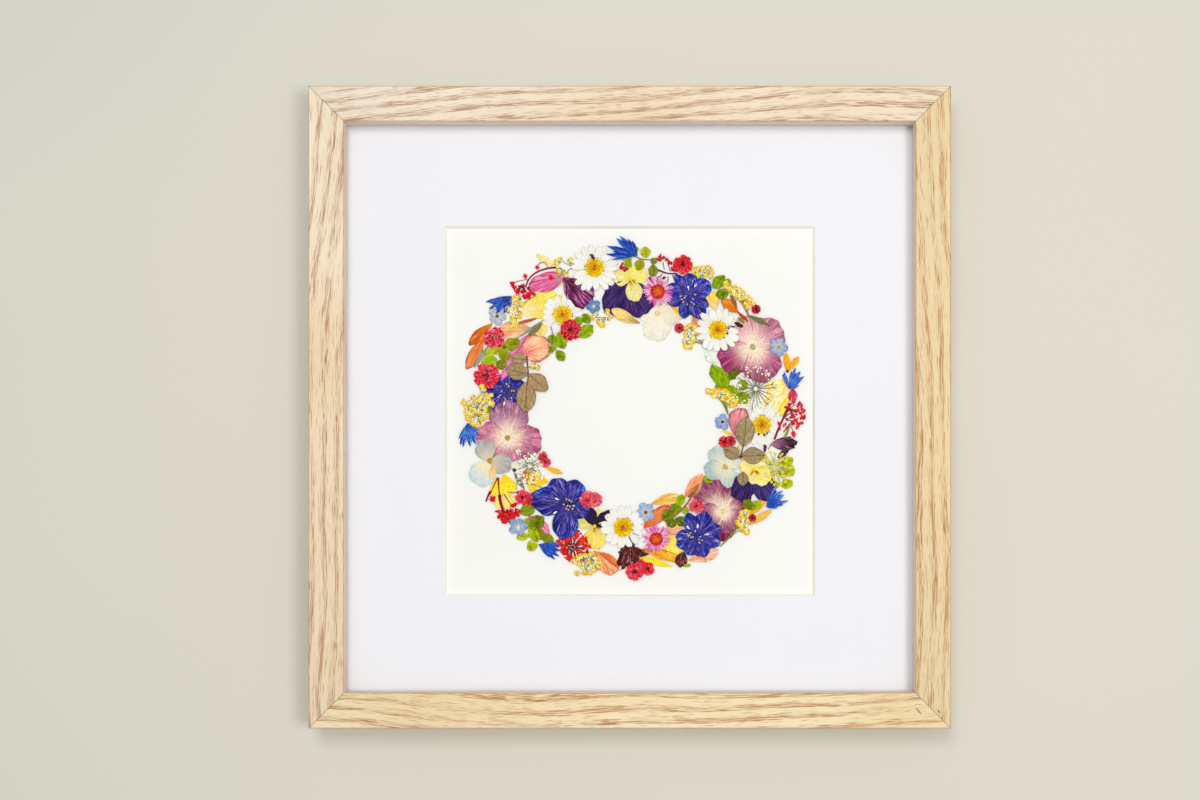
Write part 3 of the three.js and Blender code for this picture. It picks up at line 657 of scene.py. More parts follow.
def paint(mesh, verts, tint, heart, spread=0.06):
    main = mesh.verts.layers.float_color["petalTint"]
    second = mesh.verts.layers.float_color["petalHeart"]
    shade = 1 + random.uniform(-spread, spread)
    first = [part * shade for part in colour(tint)[:3]] + [1.0]
    other = [part * shade for part in colour(heart)[:3]] + [1.0]
    for vert in verts:
        vert[main] = first
        vert[second] = other


def thicken(mesh, faces, thickness):    # a back for the sheet, and a wall round its rim
    raised = bmesh.ops.extrude_face_region(mesh, geom=faces, use_keep_orig=True)
    bmesh.ops.translate(mesh, vec=(0, 0, thickness),
                        verts=[part for part in raised["geom"] if isinstance(part, bmesh.types.BMVert)])
    bmesh.ops.reverse_faces(mesh, faces=faces)


def addSheet(mesh, rows, columns, shape, tint, heart, material=0, thickness=None):
    grid = bmesh.ops.create_grid(mesh, x_segments=rows, y_segments=columns, size=1.0)["verts"]
    uv = mesh.loops.layers.uv["petalMap"]
    faces = list(dict.fromkeys(face for vert in grid for face in vert.link_faces))
    spots = {}
    for vert in grid:
        spot, vert.co = shape(vert.co.x, vert.co.y)
        spots[vert] = spot
    for face in faces:
        face.material_index = material
        for loop in face.loops:
            loop[uv].uv = spots[loop.vert]
    paint(mesh, grid, tint, heart)
    thicken(mesh, faces, thickness or layers["petal"])


def addPetal(mesh, foot, turn, length, width, lift, form, tint, heart, material=0):
    look = petalForms[form]
    phase = random.uniform(0, math.tau)
    sway = random.uniform(-1, 1) * look["sway"]
    heading = math.radians(turn)

    def shape(a, b):    # square grid to a round one, and that to the petal's outline
        x = a * math.sqrt(1 - b * b / 2)
        y = b * math.sqrt(1 - a * a / 2)
        ring = min(1.0, math.hypot(x, y))
        angle = math.atan2(y, x)
        waves = look["waves"]
        ripple = math.sin(waves * angle + phase) + 0.6 * math.sin((2 * waves + 1) * angle - phase)
        edge = 1 + look["ruffle"] * ring ** 4 * ripple
        share = (1 + x) / 2
        neck = look["neck"] + (1 - look["neck"]) * math.sin(min(1, share / look["shoulder"]) * math.pi / 2)
        tip = 1 - look["point"] * max(0, x) ** 2
        dent = look["notch"] * max(0, x) ** 4 * math.exp(-((y / 0.25) ** 2))
        along = length * (share * (1 + (edge - 1) * 0.6) - dent)
        across = y * width / 2 * neck * tip * edge + sway * length * share * share
        crease = noise.noise(Vector((x * 2.4, y * 2.4, phase * 3)))
        rise = lift + look["crumple"] * (crease * (0.3 + ring) + 0.35 * ring ** 3)
        place = (foot[0] + math.cos(heading) * along - math.sin(heading) * across,
                 foot[1] + math.sin(heading) * along + math.cos(heading) * across, rise)
        return ((x + 1) / 2, (y + 1) / 2), place

    cellsPerMm = 1.1
    rows = max(6, min(18, round(length * cellsPerMm)))
    columns = max(4, min(14, round(width * cellsPerMm)))
    addSheet(mesh, rows, columns, shape, tint, heart, material)


def spotAround(at, reach, angle):
    return (at[0] + reach * math.cos(angle), at[1] + reach * math.sin(angle))


def curvePoint(points, share):    # a smooth line through the points
    place = share * (len(points) - 1)
    i = min(int(place), len(points) - 2)
    t = place - i
    p1, p2 = Vector(points[i]), Vector(points[i + 1])
    p0 = Vector(points[i - 1]) if i else p1 * 2 - p2
    p3 = Vector(points[i + 2]) if i + 2 < len(points) else p2 * 2 - p1
    bend = (2 * p0 - 5 * p1 + 4 * p2 - p3) * t * t
    twist = (3 * p1 - p0 - 3 * p2 + p3) * t ** 3
    return 0.5 * (2 * p1 + (p2 - p0) * t + bend + twist)


def addStem(mesh, points, width, lift, tint, material=0, taper=0.35):
    steps = 5 * (len(points) - 1)

    def shape(a, b):    # a low ridge along the line, thinner at its far end
        share = (1 + a) / 2
        here = curvePoint(points, share)
        ahead = curvePoint(points, min(1, share + 0.02)) - curvePoint(points, max(0, share - 0.02))
        side = Vector((-ahead.y, ahead.x)).normalized()
        place = here + side * b * width / 2 * (1 - taper * share)
        return (share, (b + 1) / 2), (place.x, place.y, lift + (1 - b * b) * width * 0.25)

    addSheet(mesh, steps, 2, shape, tint, tint, material, 0.08)


def addBud(mesh, place, radius, lift, tint, material=0, flat=0.35, rough=0.3, fine=1):
    ball = bmesh.ops.create_icosphere(mesh, subdivisions=fine, radius=radius)["verts"]
    seed = random.uniform(0, 90)
    for vert in ball:
        lump = 1 + rough * noise.noise(vert.co * (1.6 / radius) + Vector((seed, 0, 0)))
        vert.co = Vector((place[0] + vert.co.x * lump, place[1] + vert.co.y * lump,
                          lift + radius * flat * 0.5 + vert.co.z * lump * flat))
    uv = mesh.loops.layers.uv["petalMap"]
    for face in dict.fromkeys(face for vert in ball for face in vert.link_faces):
        face.material_index = material
        for loop in face.loops:
            loop[uv].uv = (0.5, 0.5)
    paint(mesh, ball, tint, tint, 0.12)


def finishSpecimen(mesh, name, kinds, node=None):
    bmesh.ops.transform(mesh, matrix=onSheet, verts=mesh.verts)
    finishPiece(mesh, name, [tissue[kind] for kind in kinds], node, 50)


daisies = {
    "daisy_1": {"at": (-18.6, 75.8), "layer": 3, "rays": 18, "length": 13.6, "width": 3.7, "disc": 5.0},
    "daisy_2": {"at": (-35.5, 51.0), "layer": 1, "rays": 17, "length": 11.8, "width": 3.5, "disc": 4.9},
    "daisy_3": {"at": (46.4, 43.0), "layer": 5, "rays": 16, "length": 12.6, "width": 3.9, "disc": 4.9},
    "daisy_4": {"at": (69.6, -7.1), "layer": 1, "rays": 15, "length": 12.0, "width": 4.1, "disc": 4.8},
    "daisy_5": {"at": (-3.6, -61.2), "layer": 3, "rays": 15, "length": 12.0, "width": 4.1, "disc": 5.1},
}
daisyRay = {"footMm": 3.4, "tint": "fffdf4", "heart": "f3eecd", "scales": 14,
            "green": ("5c5a20", "7c6c2c", "4a4420")}
# base is painted shade that shows in the gaps between the disc florets
discTones = {"rim": "ffdc1e", "ring": "f2a814", "middle": "86691c", "base": "c8940e", "florets": 120,
             "rimFrom": 0.60, "ringFrom": 0.26, "goldenAngle": 137.508}


def addDisc(mesh, at, radius, lift, tones, material, size=0.42):
    # the darker base under the florets is painted shade that shows in the gaps between them
    addBud(mesh, at, radius * 0.96, lift, tones["base"], material, flat=0.05, rough=0.05, fine=3)
    for i in range(tones["florets"]):
        share = math.sqrt((i + 0.5) / tones["florets"])
        angle = math.radians(i * tones["goldenAngle"])
        part = "rim" if share > tones["rimFrom"] else "ring" if share > tones["ringFrom"] else "middle"
        place = spotAround(at, radius * share, angle)
        dome = 0.22 * (1 - share * share)
        addBud(mesh, place, size * random.uniform(0.8, 1.25), lift + dome, tones[part], material, 0.5, 0.3)


def makeDaisies():
    for name, look in daisies.items():
        mesh = newSpecimen()
        at = look["at"]
        lift = layerLift(look["layer"])
        for i in range(look["rays"]):
            turn = i * 360 / look["rays"] + random.uniform(-5, 5)
            foot = spotAround(at, daisyRay["footMm"], math.radians(turn))
            length = (look["length"] - daisyRay["footMm"]) * random.uniform(0.86, 1.04)
            width = look["width"] * random.uniform(0.85, 1.1)
            up = lift + 0.06 * (i % 3)
            addPetal(mesh, foot, turn, length, width, up, "daisy", daisyRay["tint"], daisyRay["heart"])
        for i in range(daisyRay["scales"]):    # green scales show between the feet of the rays
            spot = spotAround(at, look["disc"] * 1.06, random.uniform(0, math.tau))
            addBud(mesh, spot, random.uniform(0.25, 0.45), lift + 0.2, random.choice(daisyRay["green"]), 1)
        addDisc(mesh, at, look["disc"], lift + 0.16, discTones, 1)
        finishSpecimen(mesh, name + "_pressed", ["daisy_ray", "grainy"], name)


makeDaisies()
print("daisies are made")


# petals are (turn, length, width, tint, heart)
hydrangeas = {
    "hydrangea_mauve_left": {
        "at": (-64.5, -14.0), "layer": 1, "slot": "mauve_petal", "eye": "b98a3a",
        "petals": [
            (86, 20, 21, "b286b4", "fffff0"), (182, 17, 18, "c688ae", "fffff0"),
            (-12, 18.5, 18, "c07cac", "fffff0"), (-76, 13, 19, "c48cb2", "fffff0")]},
    "hydrangea_mauve_right": {
        "at": (64.8, 34.1), "layer": 2, "slot": "mauve_petal", "eye": "b9a468",
        "petals": [
            (38, 19, 20, "c894b8", "fffff0"), (118, 17, 18, "dcbad0", "fffff0"),
            (208, 20, 19, "a44a86", "fffff0"), (-62, 20, 21, "b06c9c", "fffff0")]},
    "hydrangea_magenta": {
        "at": (49.3, -52.5), "layer": 1, "slot": "mauve_petal", "eye": "d9cb8c",
        "petals": [
            (128, 20.5, 20, "9b5488", "fffff0"), (44, 17, 18, "8c3070", "fffff0"),
            (-2, 14.5, 13, "9c5088", "fffff0"), (-98, 16.5, 15, "862c6a", "fffff0"),
            (-42, 12, 12, "a06494", "fffff0"), (-165, 12, 12, "a56b98", "fffff0")]},
    "hydrangea_cream_top": {
        "at": (14.4, 51.8), "layer": 0, "slot": "pale_petal", "eye": "e8cfa0",
        "petals": [
            (-92, 15, 15.5, "eeeadc", "fdf4e2"), (96, 12.5, 14.5, "fae4da", "fdf4e4"),
            (6, 14.5, 14, "f6e6d0", "fdf2dc"), (182, 9.5, 11, "faeedc", "fdf4e4")]},
    "hydrangea_pale_left": {
        "at": (-74.0, -26.1), "layer": 2, "slot": "pale_petal", "eye": "b08a3c",
        "petals": [
            (112, 11.5, 11, "b6b8ba", "e4dac4"), (-118, 14.5, 14.5, "d6e4ea", "fdf2d0"),
            (-14, 12, 11, "bcbab6", "dcd4c2")]},
    "hydrangea_pale_right": {
        "at": (50.3, -29.3), "layer": 2, "slot": "pale_petal", "eye": "c6b26c",
        "petals": [
            (122, 12.5, 11, "c6d6d4", "f2edd6"), (196, 11.5, 11, "a9bfc6", "efe9cf"),
            (-72, 11.5, 10, "c2d2d0", "f2edd6"), (38, 10.5, 10, "d9ded2", "f5efd8")]},
}
hydrangeaEye = {"radiusMm": 1.5, "grains": 7, "ringMm": 1.1, "grainMm": 0.38,
                "tones": ("6a4c20", "c8a44c", "efe2b0")}
larkspurs = {
    "larkspur_left": {
        "at": (-64.5, 10.3), "layer": 0,
        "petals": [(110, 10, 9), (28, 10, 9), (178, 11.5, 9), (222, 12.5, 9), (-50, 7, 8)],
        "tones": ("2c2ca0", "3c389a"), "slits": [(-66.0, 5.5)],
        "stamens": [
            (-64.1, 12.8), (-62.8, 10.8), (-69.0, 7.9), (-65.8, 7.1), (-62.5, 7.6), (-67.3, 10.7),
            (-61.5, 10.8), (-64.8, 14.2), (-68.4, 8.8)]},
    "larkspur_bottom_left": {
        "at": (-32.3, -48.8), "layer": 3,
        "petals": [(176, 20, 14), (122, 15.5, 11), (72, 13, 12), (-22, 11.5, 10), (-102, 18.5, 12.5)],
        "tones": ("4c4298", "2c2c96"), "slits": [(-37.2, -46.7), (-38.3, -52.6)],
        "stamens": [
            (-33.5, -46.8), (-32.2, -47.2), (-31.3, -47.8), (-30.3, -49.7), (-31.6, -49.7),
            (-32.9, -49.4), (-33.2, -51.0), (-30.6, -51.3), (-32.2, -51.6), (-34.5, -49.1),
            (-29.7, -49.4)]},
    "larkspur_bottom_right": {
        "at": (35.3, -65.7), "layer": 3,
        "petals": [
            (212, 11.5, 8), (186, 11, 7.5), (114, 12.6, 7.5), (22, 13, 8.5), (-70, 12, 8), (-112, 11, 8),
            (62, 13, 10), (-14, 12.6, 9)],
        "tones": ("44409c", "24289a"), "slits": [(31.6, -62.2), (35.6, -61.9), (39.2, -65.0)],
        "stamens": [
            (30.7, -64.7), (31.0, -66.0), (32.3, -64.2), (33.5, -66.0), (32.6, -66.3), (36.1, -67.3),
            (37.4, -67.9), (36.4, -68.9), (34.5, -63.5), (31.6, -65.1), (36.7, -66.3)]},
    "larkspur_top": {
        "at": (31.5, 61.0), "layer": 3,
        "petals": [
            (124, 13, 6), (199, 12.2, 7), (-109, 12.2, 6.5), (-35, 11, 7), (156, 12.7, 8), (-63, 14, 8),
            (36, 12.8, 9.5), (97, 11.7, 9)],
        "tones": ("443c98", "2430a4"), "slits": [(33.9, 65.2), (31.0, 63.6)],
        "stamens": [
            (27.1, 60.5), (27.8, 58.9), (28.4, 57.9), (30.0, 61.1), (30.3, 56.9), (32.3, 57.9),
            (33.5, 56.9), (33.9, 61.7), (32.9, 59.2), (29.1, 60.1)]},
}
violas = {
    "viola_top": {
        "at": (0.5, 69.5), "layer": 2,
        "petals": [
            (-118, 22, 19.5, "3d2470", "2a1a56"), (-74, 20.5, 18, "452a78", "2c1a58"),
            (168, 9.5, 9, "f2e79e", "f8e05a"), (28, 9.5, 9, "f6e78c", "fbe04a"),
            (88, 8, 9, "f4e88e", "fbe04a"), (-75, 12, 9, "f1e8a8", "f9df52")]},
    "viola_right": {
        "at": (65.2, -31.0), "layer": 3,
        "petals": [
            (-119, 18.5, 13, "352066", "24144c"), (-60, 18.5, 13, "43307e", "2c1c5c"),
            (140, 8, 9, "f6eaa4", "ffe04a"), (60, 9, 9.5, "f6ecb4", "fbe266"),
            (194, 6.5, 8, "f6e69c", "ffe04a"), (-88, 7.5, 7, "f8eba8", "fce058"),
            (-36, 10.5, 10.5, "f8eba4", "fce058")]},
    "viola_bottom": {
        "at": (-18.6, -60.5), "layer": 1,
        "petals": [
            (62, 9.5, 9, "f0e7a6", "e8d880"), (158, 11, 8, "ece29c", "e6d478"),
            (-88, 12.5, 13, "fae07c", "ffd84a"), (-20, 7, 7, "f8e08a", "fcd850"),
            (112, 11, 7, "2a1444", "1e0e34"), (30, 13.5, 9, "2a1444", "1e0e34")]},
}


def addStamens(mesh, centre, spots, lift, tone, material):
    for spot in spots:
        heading = math.atan2(spot[1] - centre[1], spot[0] - centre[0]) + random.uniform(-0.9, 0.9)
        tip = spotAround(spot, 0.9, heading)
        addStem(mesh, [spot, tip], 0.62, lift, tone, material=material, taper=0.1)


def makeHydrangeas():
    for name, look in hydrangeas.items():
        mesh = newSpecimen()
        lift = layerLift(look["layer"])
        for i, (turn, length, width, tint, heart) in enumerate(look["petals"]):
            addPetal(mesh, look["at"], turn, length, width, lift + 0.05 * i, "sepal", tint, heart, 0)
        addBud(mesh, look["at"], hydrangeaEye["radiusMm"], lift + 0.22, look["eye"], 1, 0.3, 0.4, 2)
        for i in range(hydrangeaEye["grains"]):
            spot = spotAround(look["at"], hydrangeaEye["ringMm"], random.uniform(0, math.tau))
            tone = random.choice(hydrangeaEye["tones"])
            addBud(mesh, spot, hydrangeaEye["grainMm"], lift + 0.36, tone, 1)
        skin = "pale_sepal" if look["slot"] == "pale_petal" else "hydrangea_sepal"
        finishSpecimen(mesh, name + "_pressed", [skin, "grainy"], name)


def makeLarkspurs():
    for name, look in larkspurs.items():
        mesh = newSpecimen()
        lift = layerLift(look["layer"])
        for i, (turn, length, width) in enumerate(look["petals"]):
            tint, heart = look["tones"] if i % 2 else look["tones"][::-1]
            # a clear blue margin, the velvety petal, and a fold along it
            coats = ((1.02, 1.13, 0.0, "spur", "2e50c8", heart), (0.96, 0.95, 0.12, "spur", tint, heart),
                     (0.80, 0.26, 0.17, "floret", heart, tint))
            for share, wide, up, form, tone, foot in coats:
                heading = turn + random.uniform(-3, 3)
                height = lift + 0.035 * i + up
                addPetal(mesh, look["at"], heading, length * share, width * wide, height, form, tone, foot)
        for i in range(6):
            turn = i * 60 + random.uniform(-20, 20)
            addPetal(mesh, look["at"], turn, 4.6, 3.0, lift + 0.32, "ray", look["tones"][1], "1a1660", 0)
        for spot in look["slits"]:
            heading = math.degrees(math.atan2(spot[1] - look["at"][1], spot[0] - look["at"][0]))
            addPetal(mesh, spot, heading, 2.6, 1.0, lift + 0.42, "ray", "f3f1f6", "d8d4f0", 1)
        addStamens(mesh, look["at"], look["stamens"], lift + 0.44, "e8d45c", 1)
        finishSpecimen(mesh, name + "_pressed", ["larkspur_sepal", "grainy"], name)


def makeViolas():
    for name, look in violas.items():
        mesh = newSpecimen()
        lift = layerLift(look["layer"])
        for i, (turn, length, width, tint, heart) in enumerate(look["petals"]):
            addPetal(mesh, look["at"], turn, length, width, lift + 0.05 * i, "sepal", tint, heart, 0)
        for i in range(9):    # nectar lines
            angle = math.radians(-75 + random.uniform(-70, 70))
            near = spotAround(look["at"], 0.8, angle)
            far = spotAround(look["at"], 3.4, angle)
            addStem(mesh, [near, far], 0.3, lift + 0.42, "7a6a2c", material=1, taper=0.6)
        addBud(mesh, look["at"], 0.9, lift + 0.42, "f6c21c", 1, 0.3, 0.4, 2)
        finishSpecimen(mesh, name + "_pressed", ["viola_petal", "grainy"], name)


makeHydrangeas()
makeLarkspurs()
makeViolas()
print("hydrangeas, larkspurs and violas are made")


asters = {
    "aster_top": {"at": (14.7, 63.1), "layer": 4, "rays": 40, "length": 8.6, "disc": 4.0},
    "aster_bottom": {"at": (13.9, -67.3), "layer": 4, "rays": 40, "length": 8.0, "disc": 3.6},
}
asterRay = {"footMm": 2.6, "widthMm": 1.05, "tints": ("f690d0", "f070bc", "fbc0e4", "ec5cac")}
# base is painted shade that shows in the gaps between the disc florets
asterDisc = {"rim": "cc2c3a", "ring": "e8581c", "middle": "e07c2c", "base": "9c2a1c", "florets": 60,
             "rimFrom": 0.62, "ringFrom": 0.36, "goldenAngle": 137.508}
laces = {
    "lace_right": {
        "at": (66.4, 11.9), "layer": 4, "rays": 22, "reach": 12.8, "inner": 0.62, "florets": 6,
        "spread": 0.14, "slot": "cream_floret", "stalk": "6c6c3c",
        "tones": ("fffef8", "fbf8ea", "f2ecd2"), "size": 0.42},
    "lace_left": {
        "at": (-52.9, -28.8), "layer": 3, "rays": 18, "reach": 9.6, "inner": 0.40, "florets": 9,
        "spread": 0.22, "slot": "cream_floret", "stalk": "78743c",
        "tones": ("fffdf6", "fbf7e8", "f2e9cc"), "size": 0.48},
    "red_lace": {
        "at": (-30.2, -71.6), "layer": 2, "rays": 27, "reach": 9.4, "inner": 0.42, "florets": 11,
        "spread": 0.20, "stalkMm": 0.5, "slot": "red_petal", "stalk": "7c1c24",
        "tones": ("e40c1c", "b40a1c", "f4342c"), "size": 0.56},
}
carnations = {
    "carnation_left_upper": {
        "at": (-71.6, 38.8), "layer": 3, "radius": 6.0, "tones": ("dc3054", "f0708c", "7a0c24")},
    "carnation_left_lower": {
        "at": (-75.6, 18.7), "layer": 4, "radius": 7.1, "tones": ("dc1c3c", "ee5474", "760a20")},
    "carnation_top": {
        "at": (27.9, 77.4), "layer": 3, "radius": 5.4, "tones": ("dc1028", "ec2c44", "780818")},
    "carnation_inner": {
        "at": (-31.3, 43.0), "layer": 4, "radius": 5.8, "tones": ("d00c20", "e83850", "780818")},
}
cornflowers = {
    "cornflower_top_left": {
        "at": (-62.4, 61.0), "layer": 2,
        "lobes": [(196, 14, 4), (211, 13.5, 4), (226, 12.5, 4), (243, 10, 4), (256, 6.5, 3)],
        "tones": ("2350bc", "1a3a9c")},
    "cornflower_left": {
        "at": (-85.6, -6.1), "layer": 3,
        "lobes": [(248, 12, 4), (262, 12.6, 4), (276, 12.4, 4), (292, 12, 4), (320, 8.4, 3.6)],
        "tones": ("3d68cc", "2448ac")},
    "cornflower_bottom": {
        "at": (-48.2, -70.0), "layer": 3,
        "lobes": [(-6, 12, 3.4), (-20, 12.2, 3.4), (-32, 12.4, 3.4), (-46, 11.6, 3.4)],
        "tones": ("1f55c2", "1c3ea6")},
    "cornflower_bottom_right": {
        "at": (71.7, -50.4), "layer": 4,
        "lobes": [(64, 11.8, 2.6), (47, 12.4, 3.6), (34, 11.6, 3.4), (13, 12, 3.4), (0, 6, 3)],
        "tones": ("3466cc", "1f46b4")},
    "cornflower_right": {
        "at": (83.8, 11.9), "layer": 3,
        "lobes": [(108, 9, 3.4), (75, 11.4, 3.6), (58, 11, 3.6), (42, 10.2, 3.4), (18, 5.6, 3)],
        "tones": ("4a6cd2", "2c48b4")},
    "cornflower_top": {
        "at": (4.1, 82.1), "layer": 4,
        "lobes": [(112, 8.4, 3.4), (128, 13.6, 3.8), (141, 14.4, 3.8), (163, 16.6, 4), (180, 16.4, 3.6)],
        "tones": ("1c50c0", "1838a0")},
}


def makeAsters():
    for name, look in asters.items():
        mesh = newSpecimen()
        lift = layerLift(look["layer"])
        for i in range(look["rays"]):
            turn = i * 360 / look["rays"] + random.uniform(-6, 6)
            foot = spotAround(look["at"], asterRay["footMm"], math.radians(turn))
            tint = random.choice(asterRay["tints"])
            length = (look["length"] - asterRay["footMm"]) * random.uniform(0.65, 1.08)
            up = lift + 0.02 * (i % 3)
            addPetal(mesh, foot, turn, length, asterRay["widthMm"], up, "ray", tint, "fdeef6")
        addDisc(mesh, look["at"], look["disc"], lift + 0.12, asterDisc, 1, 0.5)
        finishSpecimen(mesh, name + "_pressed", ["daisy_ray", "grainy"], name)


def makeLaces():
    for name, look in laces.items():
        mesh = newSpecimen()
        lift = layerLift(look["layer"])
        centre = look["at"]
        for i in range(look["rays"]):
            angle = i * math.tau / look["rays"] + random.uniform(-0.12, 0.12)
            reach = look["reach"] * random.uniform(look["inner"], 0.92)
            tip, fork, near = [spotAround(centre, away, angle) for away in (reach, reach * 0.8, 1.3)]
            stalk = look.get("stalkMm", 0.34)
            addStem(mesh, [near, fork], stalk, lift, look["stalk"], material=1, taper=0.2)
            for k in range(look["florets"]):
                out = random.uniform(0, 1) ** 0.5 * look["reach"] * look["spread"]
                around = random.uniform(0, math.tau)
                spot = spotAround(tip, out, around)
                if k % 3 == 0:
                    addStem(mesh, [fork, spot], 0.26, lift, look["stalk"], material=1, taper=0.3)
                radius = look["size"] * random.uniform(0.7, 1.5)
                addBud(mesh, spot, radius, lift + 0.1, random.choice(look["tones"]), 1, 0.3, 0.7)
        hub = look["tones"][2] if look["slot"] == "cream_floret" else look["stalk"]
        addBud(mesh, centre, 1.2, lift, hub, 1, 0.1)
        finishSpecimen(mesh, name + "_pressed", ["daisy_ray", "grainy"], name)


def addRuffles(mesh, at, radius, lift, tones):
    main, bright, dark = tones
    # a dark disc under the frills is painted shade that shows in the gaps between them
    addBud(mesh, at, radius * 0.8, lift - 0.06, dark, 0, 0.02, 0.3, 2)
    for ring, (share, count) in enumerate(((1.0, 11), (0.78, 9), (0.55, 7), (0.34, 4))):
        for i in range(count):
            turn = (i + 0.5 * (ring % 2)) * 360 / count + random.uniform(-14, 14)
            heading = math.radians(turn)
            length = radius * share * random.uniform(0.52, 0.66)
            foot = spotAround(at, radius * share - length, heading)
            turn += random.uniform(-18, 18)
            width = radius * 0.5 * (0.6 + 0.5 * share)
            tint = random.choice((main, main, bright))
            addPetal(mesh, foot, turn, length, width, lift + 0.12 * ring, "frill", tint, dark)


def makeCarnations():
    for name, look in carnations.items():
        mesh = newSpecimen()
        addRuffles(mesh, look["at"], look["radius"], layerLift(look["layer"]), look["tones"])
        finishSpecimen(mesh, name + "_pressed", ["crinkled_petal"], name)


def makeCornflowers():
    for name, look in cornflowers.items():
        mesh = newSpecimen()
        lift = layerLift(look["layer"])
        tint, foot = look["tones"]
        # each floret ends in three pointed lobes
        for i, (turn, length, width) in enumerate(look["lobes"]):
            for k, (side, share, wide) in enumerate(((-7, 0.78, 0.44), (6, 0.84, 0.44), (0, 1.02, 0.66))):
                heading = turn + side + random.uniform(-1.5, 1.5)
                up = lift + 0.03 * i + 0.03 * k
                tone = foot if k == 0 else tint
                addPetal(mesh, look["at"], heading, length * share, width * wide, up, "lobe", tone, foot)
        finishSpecimen(mesh, name + "_pressed", ["blue_ray"], name)


makeAsters()
makeLaces()
makeCarnations()
makeCornflowers()
print("asters, lace umbels, carnations and cornflowers are made")


# base is painted shade under each head, and also one of the pale floret tones
yarrowTones = {"middle": "f8f4ce", "rim": "ffcc10", "shade": "eeb00c", "base": "8c9038", "stalk": "84883a"}
yarrowSprays = {    # heads are small and round, in mm from the window's centre
    "achillea_left": {
        "layer": 5, "size": 1.3, "node": True, "foot": (-79.0, -6.0),
        "heads": [
            (-82.5, 7.2), (-79, 6.7), (-75.8, 8.4), (-73.4, 8.3), (-87, 4.7), (-84.5, 4.1), (-79.5, 5.3),
            (-77.3, 4.6), (-75.3, 6.7), (-73.8, 4.7), (-72.8, 3.7), (-86, 2.1), (-83.4, 1.6), (-79, 2.2),
            (-76.3, 1.6), (-85.6, -0.9), (-83, -1.4), (-79.4, -0.3), (-76.8, -0.7), (-85, -3.5),
            (-83.4, -4.2), (-78, -3.5), (-75.8, -2.7), (-82.4, -6), (-80, -7), (-77.2, 11), (-78, 12.8),
            (-81.4, 0.7), (-81.4, 4.7)]},
    "achillea_bottom": {
        "layer": 3, "size": 1.4, "node": True, "foot": (-18.4, -73.6),
        "heads": [
            (-25.8, -76.3), (-23.5, -76.4), (-20.3, -75.6), (-18.5, -77.5), (-27.4, -77.9),
            (-22.2, -80.1), (-19.6, -81.5), (-24.9, -82), (-15.2, -80.6), (-27.6, -85.2), (-23.6, -84.6),
            (-19, -83.6), (-16.9, -82), (-21, -84.7), (-17.8, -79.5), (-26.3, -80.5), (-29.2, -78.8)]},
    "achillea_upper_left": {
        "layer": 1.7, "size": 1.5, "foot": (-57.4, 60.0),
        "heads": [
            (-59.7, 60.1), (-63.1, 56.6), (-59.9, 56.6), (-64.2, 53.6), (-60.7, 53.2), (-61.5, 50.2),
            (-58.6, 51.0), (-62.1, 45.3), (-59.9, 46.3), (-61.0, 47.8), (-57.6, 56.6), (-61.6, 58.2)]},
    "achillea_inner_left": {
        "layer": 2.3, "size": 1.4, "foot": (-8.9, 49.6),
        "heads": [(-19, 49.6), (-18, 51.8), (-15.8, 47.5), (-12.2, 52.6), (-14.5, 46), (-11.7, 49.6)]},
    "achillea_top_left": {
        "layer": 2.2, "size": 1.3, "foot": (-23.9, 75.5),
        "heads": [(-36.7, 80), (-38.4, 78.6), (-31.4, 79.6), (-37.2, 74.4), (-33.8, 72.3)]},
    "achillea_top_right": {
        "layer": 2.4, "size": 1.35, "foot": (36.1, 67.5),
        "heads": [
            (34.3, 74.7), (36.1, 72.5), (37.4, 69), (38.6, 75), (41.3, 75.5), (42.9, 73.8), (39.5, 72.5),
            (42.4, 71.8), (36.7, 75.3)]},
    "achillea_arc": {
        "layer": 3.3, "size": 1.35, "foot": (63.1, 49.6),
        "heads": [
            (50.8, 67.6), (52.9, 64.9), (55.3, 64.8), (57.5, 63.9), (59.3, 62.1), (54.6, 62.9),
            (56.9, 61.6), (59.9, 60.3), (61.8, 59.8), (63.1, 58.4), (64.6, 57.1), (61, 57), (58.2, 59.9),
            (62, 55.1), (50.9, 65.6)]},
    "achillea_inner_right": {
        "layer": 2.3, "size": 1.35, "foot": (41.5, 34.1),
        "heads": [
            (29.7, 43.8), (30, 40.5), (28.9, 37.2), (29.8, 34.6), (31.7, 34.1), (33, 38.6), (33.8, 41.8),
            (34.3, 44.1), (31.7, 45.2), (32.1, 36.1)]},
    "achillea_right": {
        "layer": 3.0, "size": 1.35, "foot": (51.9, -1.9),
        "heads": [
            (41.5, 10.6), (43.3, 10.2), (45.2, 10.4), (46.8, 10.9), (48.4, 10.3), (50, 10.6), (51.1, 9),
            (52.7, 7.6), (54.3, 6), (55.4, 4.8), (44.5, 8.2), (47.2, 8.6), (49.3, 7.5), (51.6, 5.8),
            (53.8, 3.8)]},
    "achillea_bottom_right": {
        "layer": 3.4, "size": 1.4, "foot": (47.7, -71.3),
        "heads": [
            (59.1, -53.9), (61.2, -53.1), (62.1, -55.2), (58.5, -56.4), (59.9, -57.2), (61.8, -57.8),
            (58.6, -59.8), (59.3, -61.7), (61.2, -62.2), (61.7, -63.6), (57.2, -58.5), (59.9, -59.8)]},
    "achillea_bud": {
        "layer": 4.2, "size": 1.3, "foot": (-59.8, 22.9), "heads": [(-48.9, 23.2), (-50.7, 23.9)]},
}


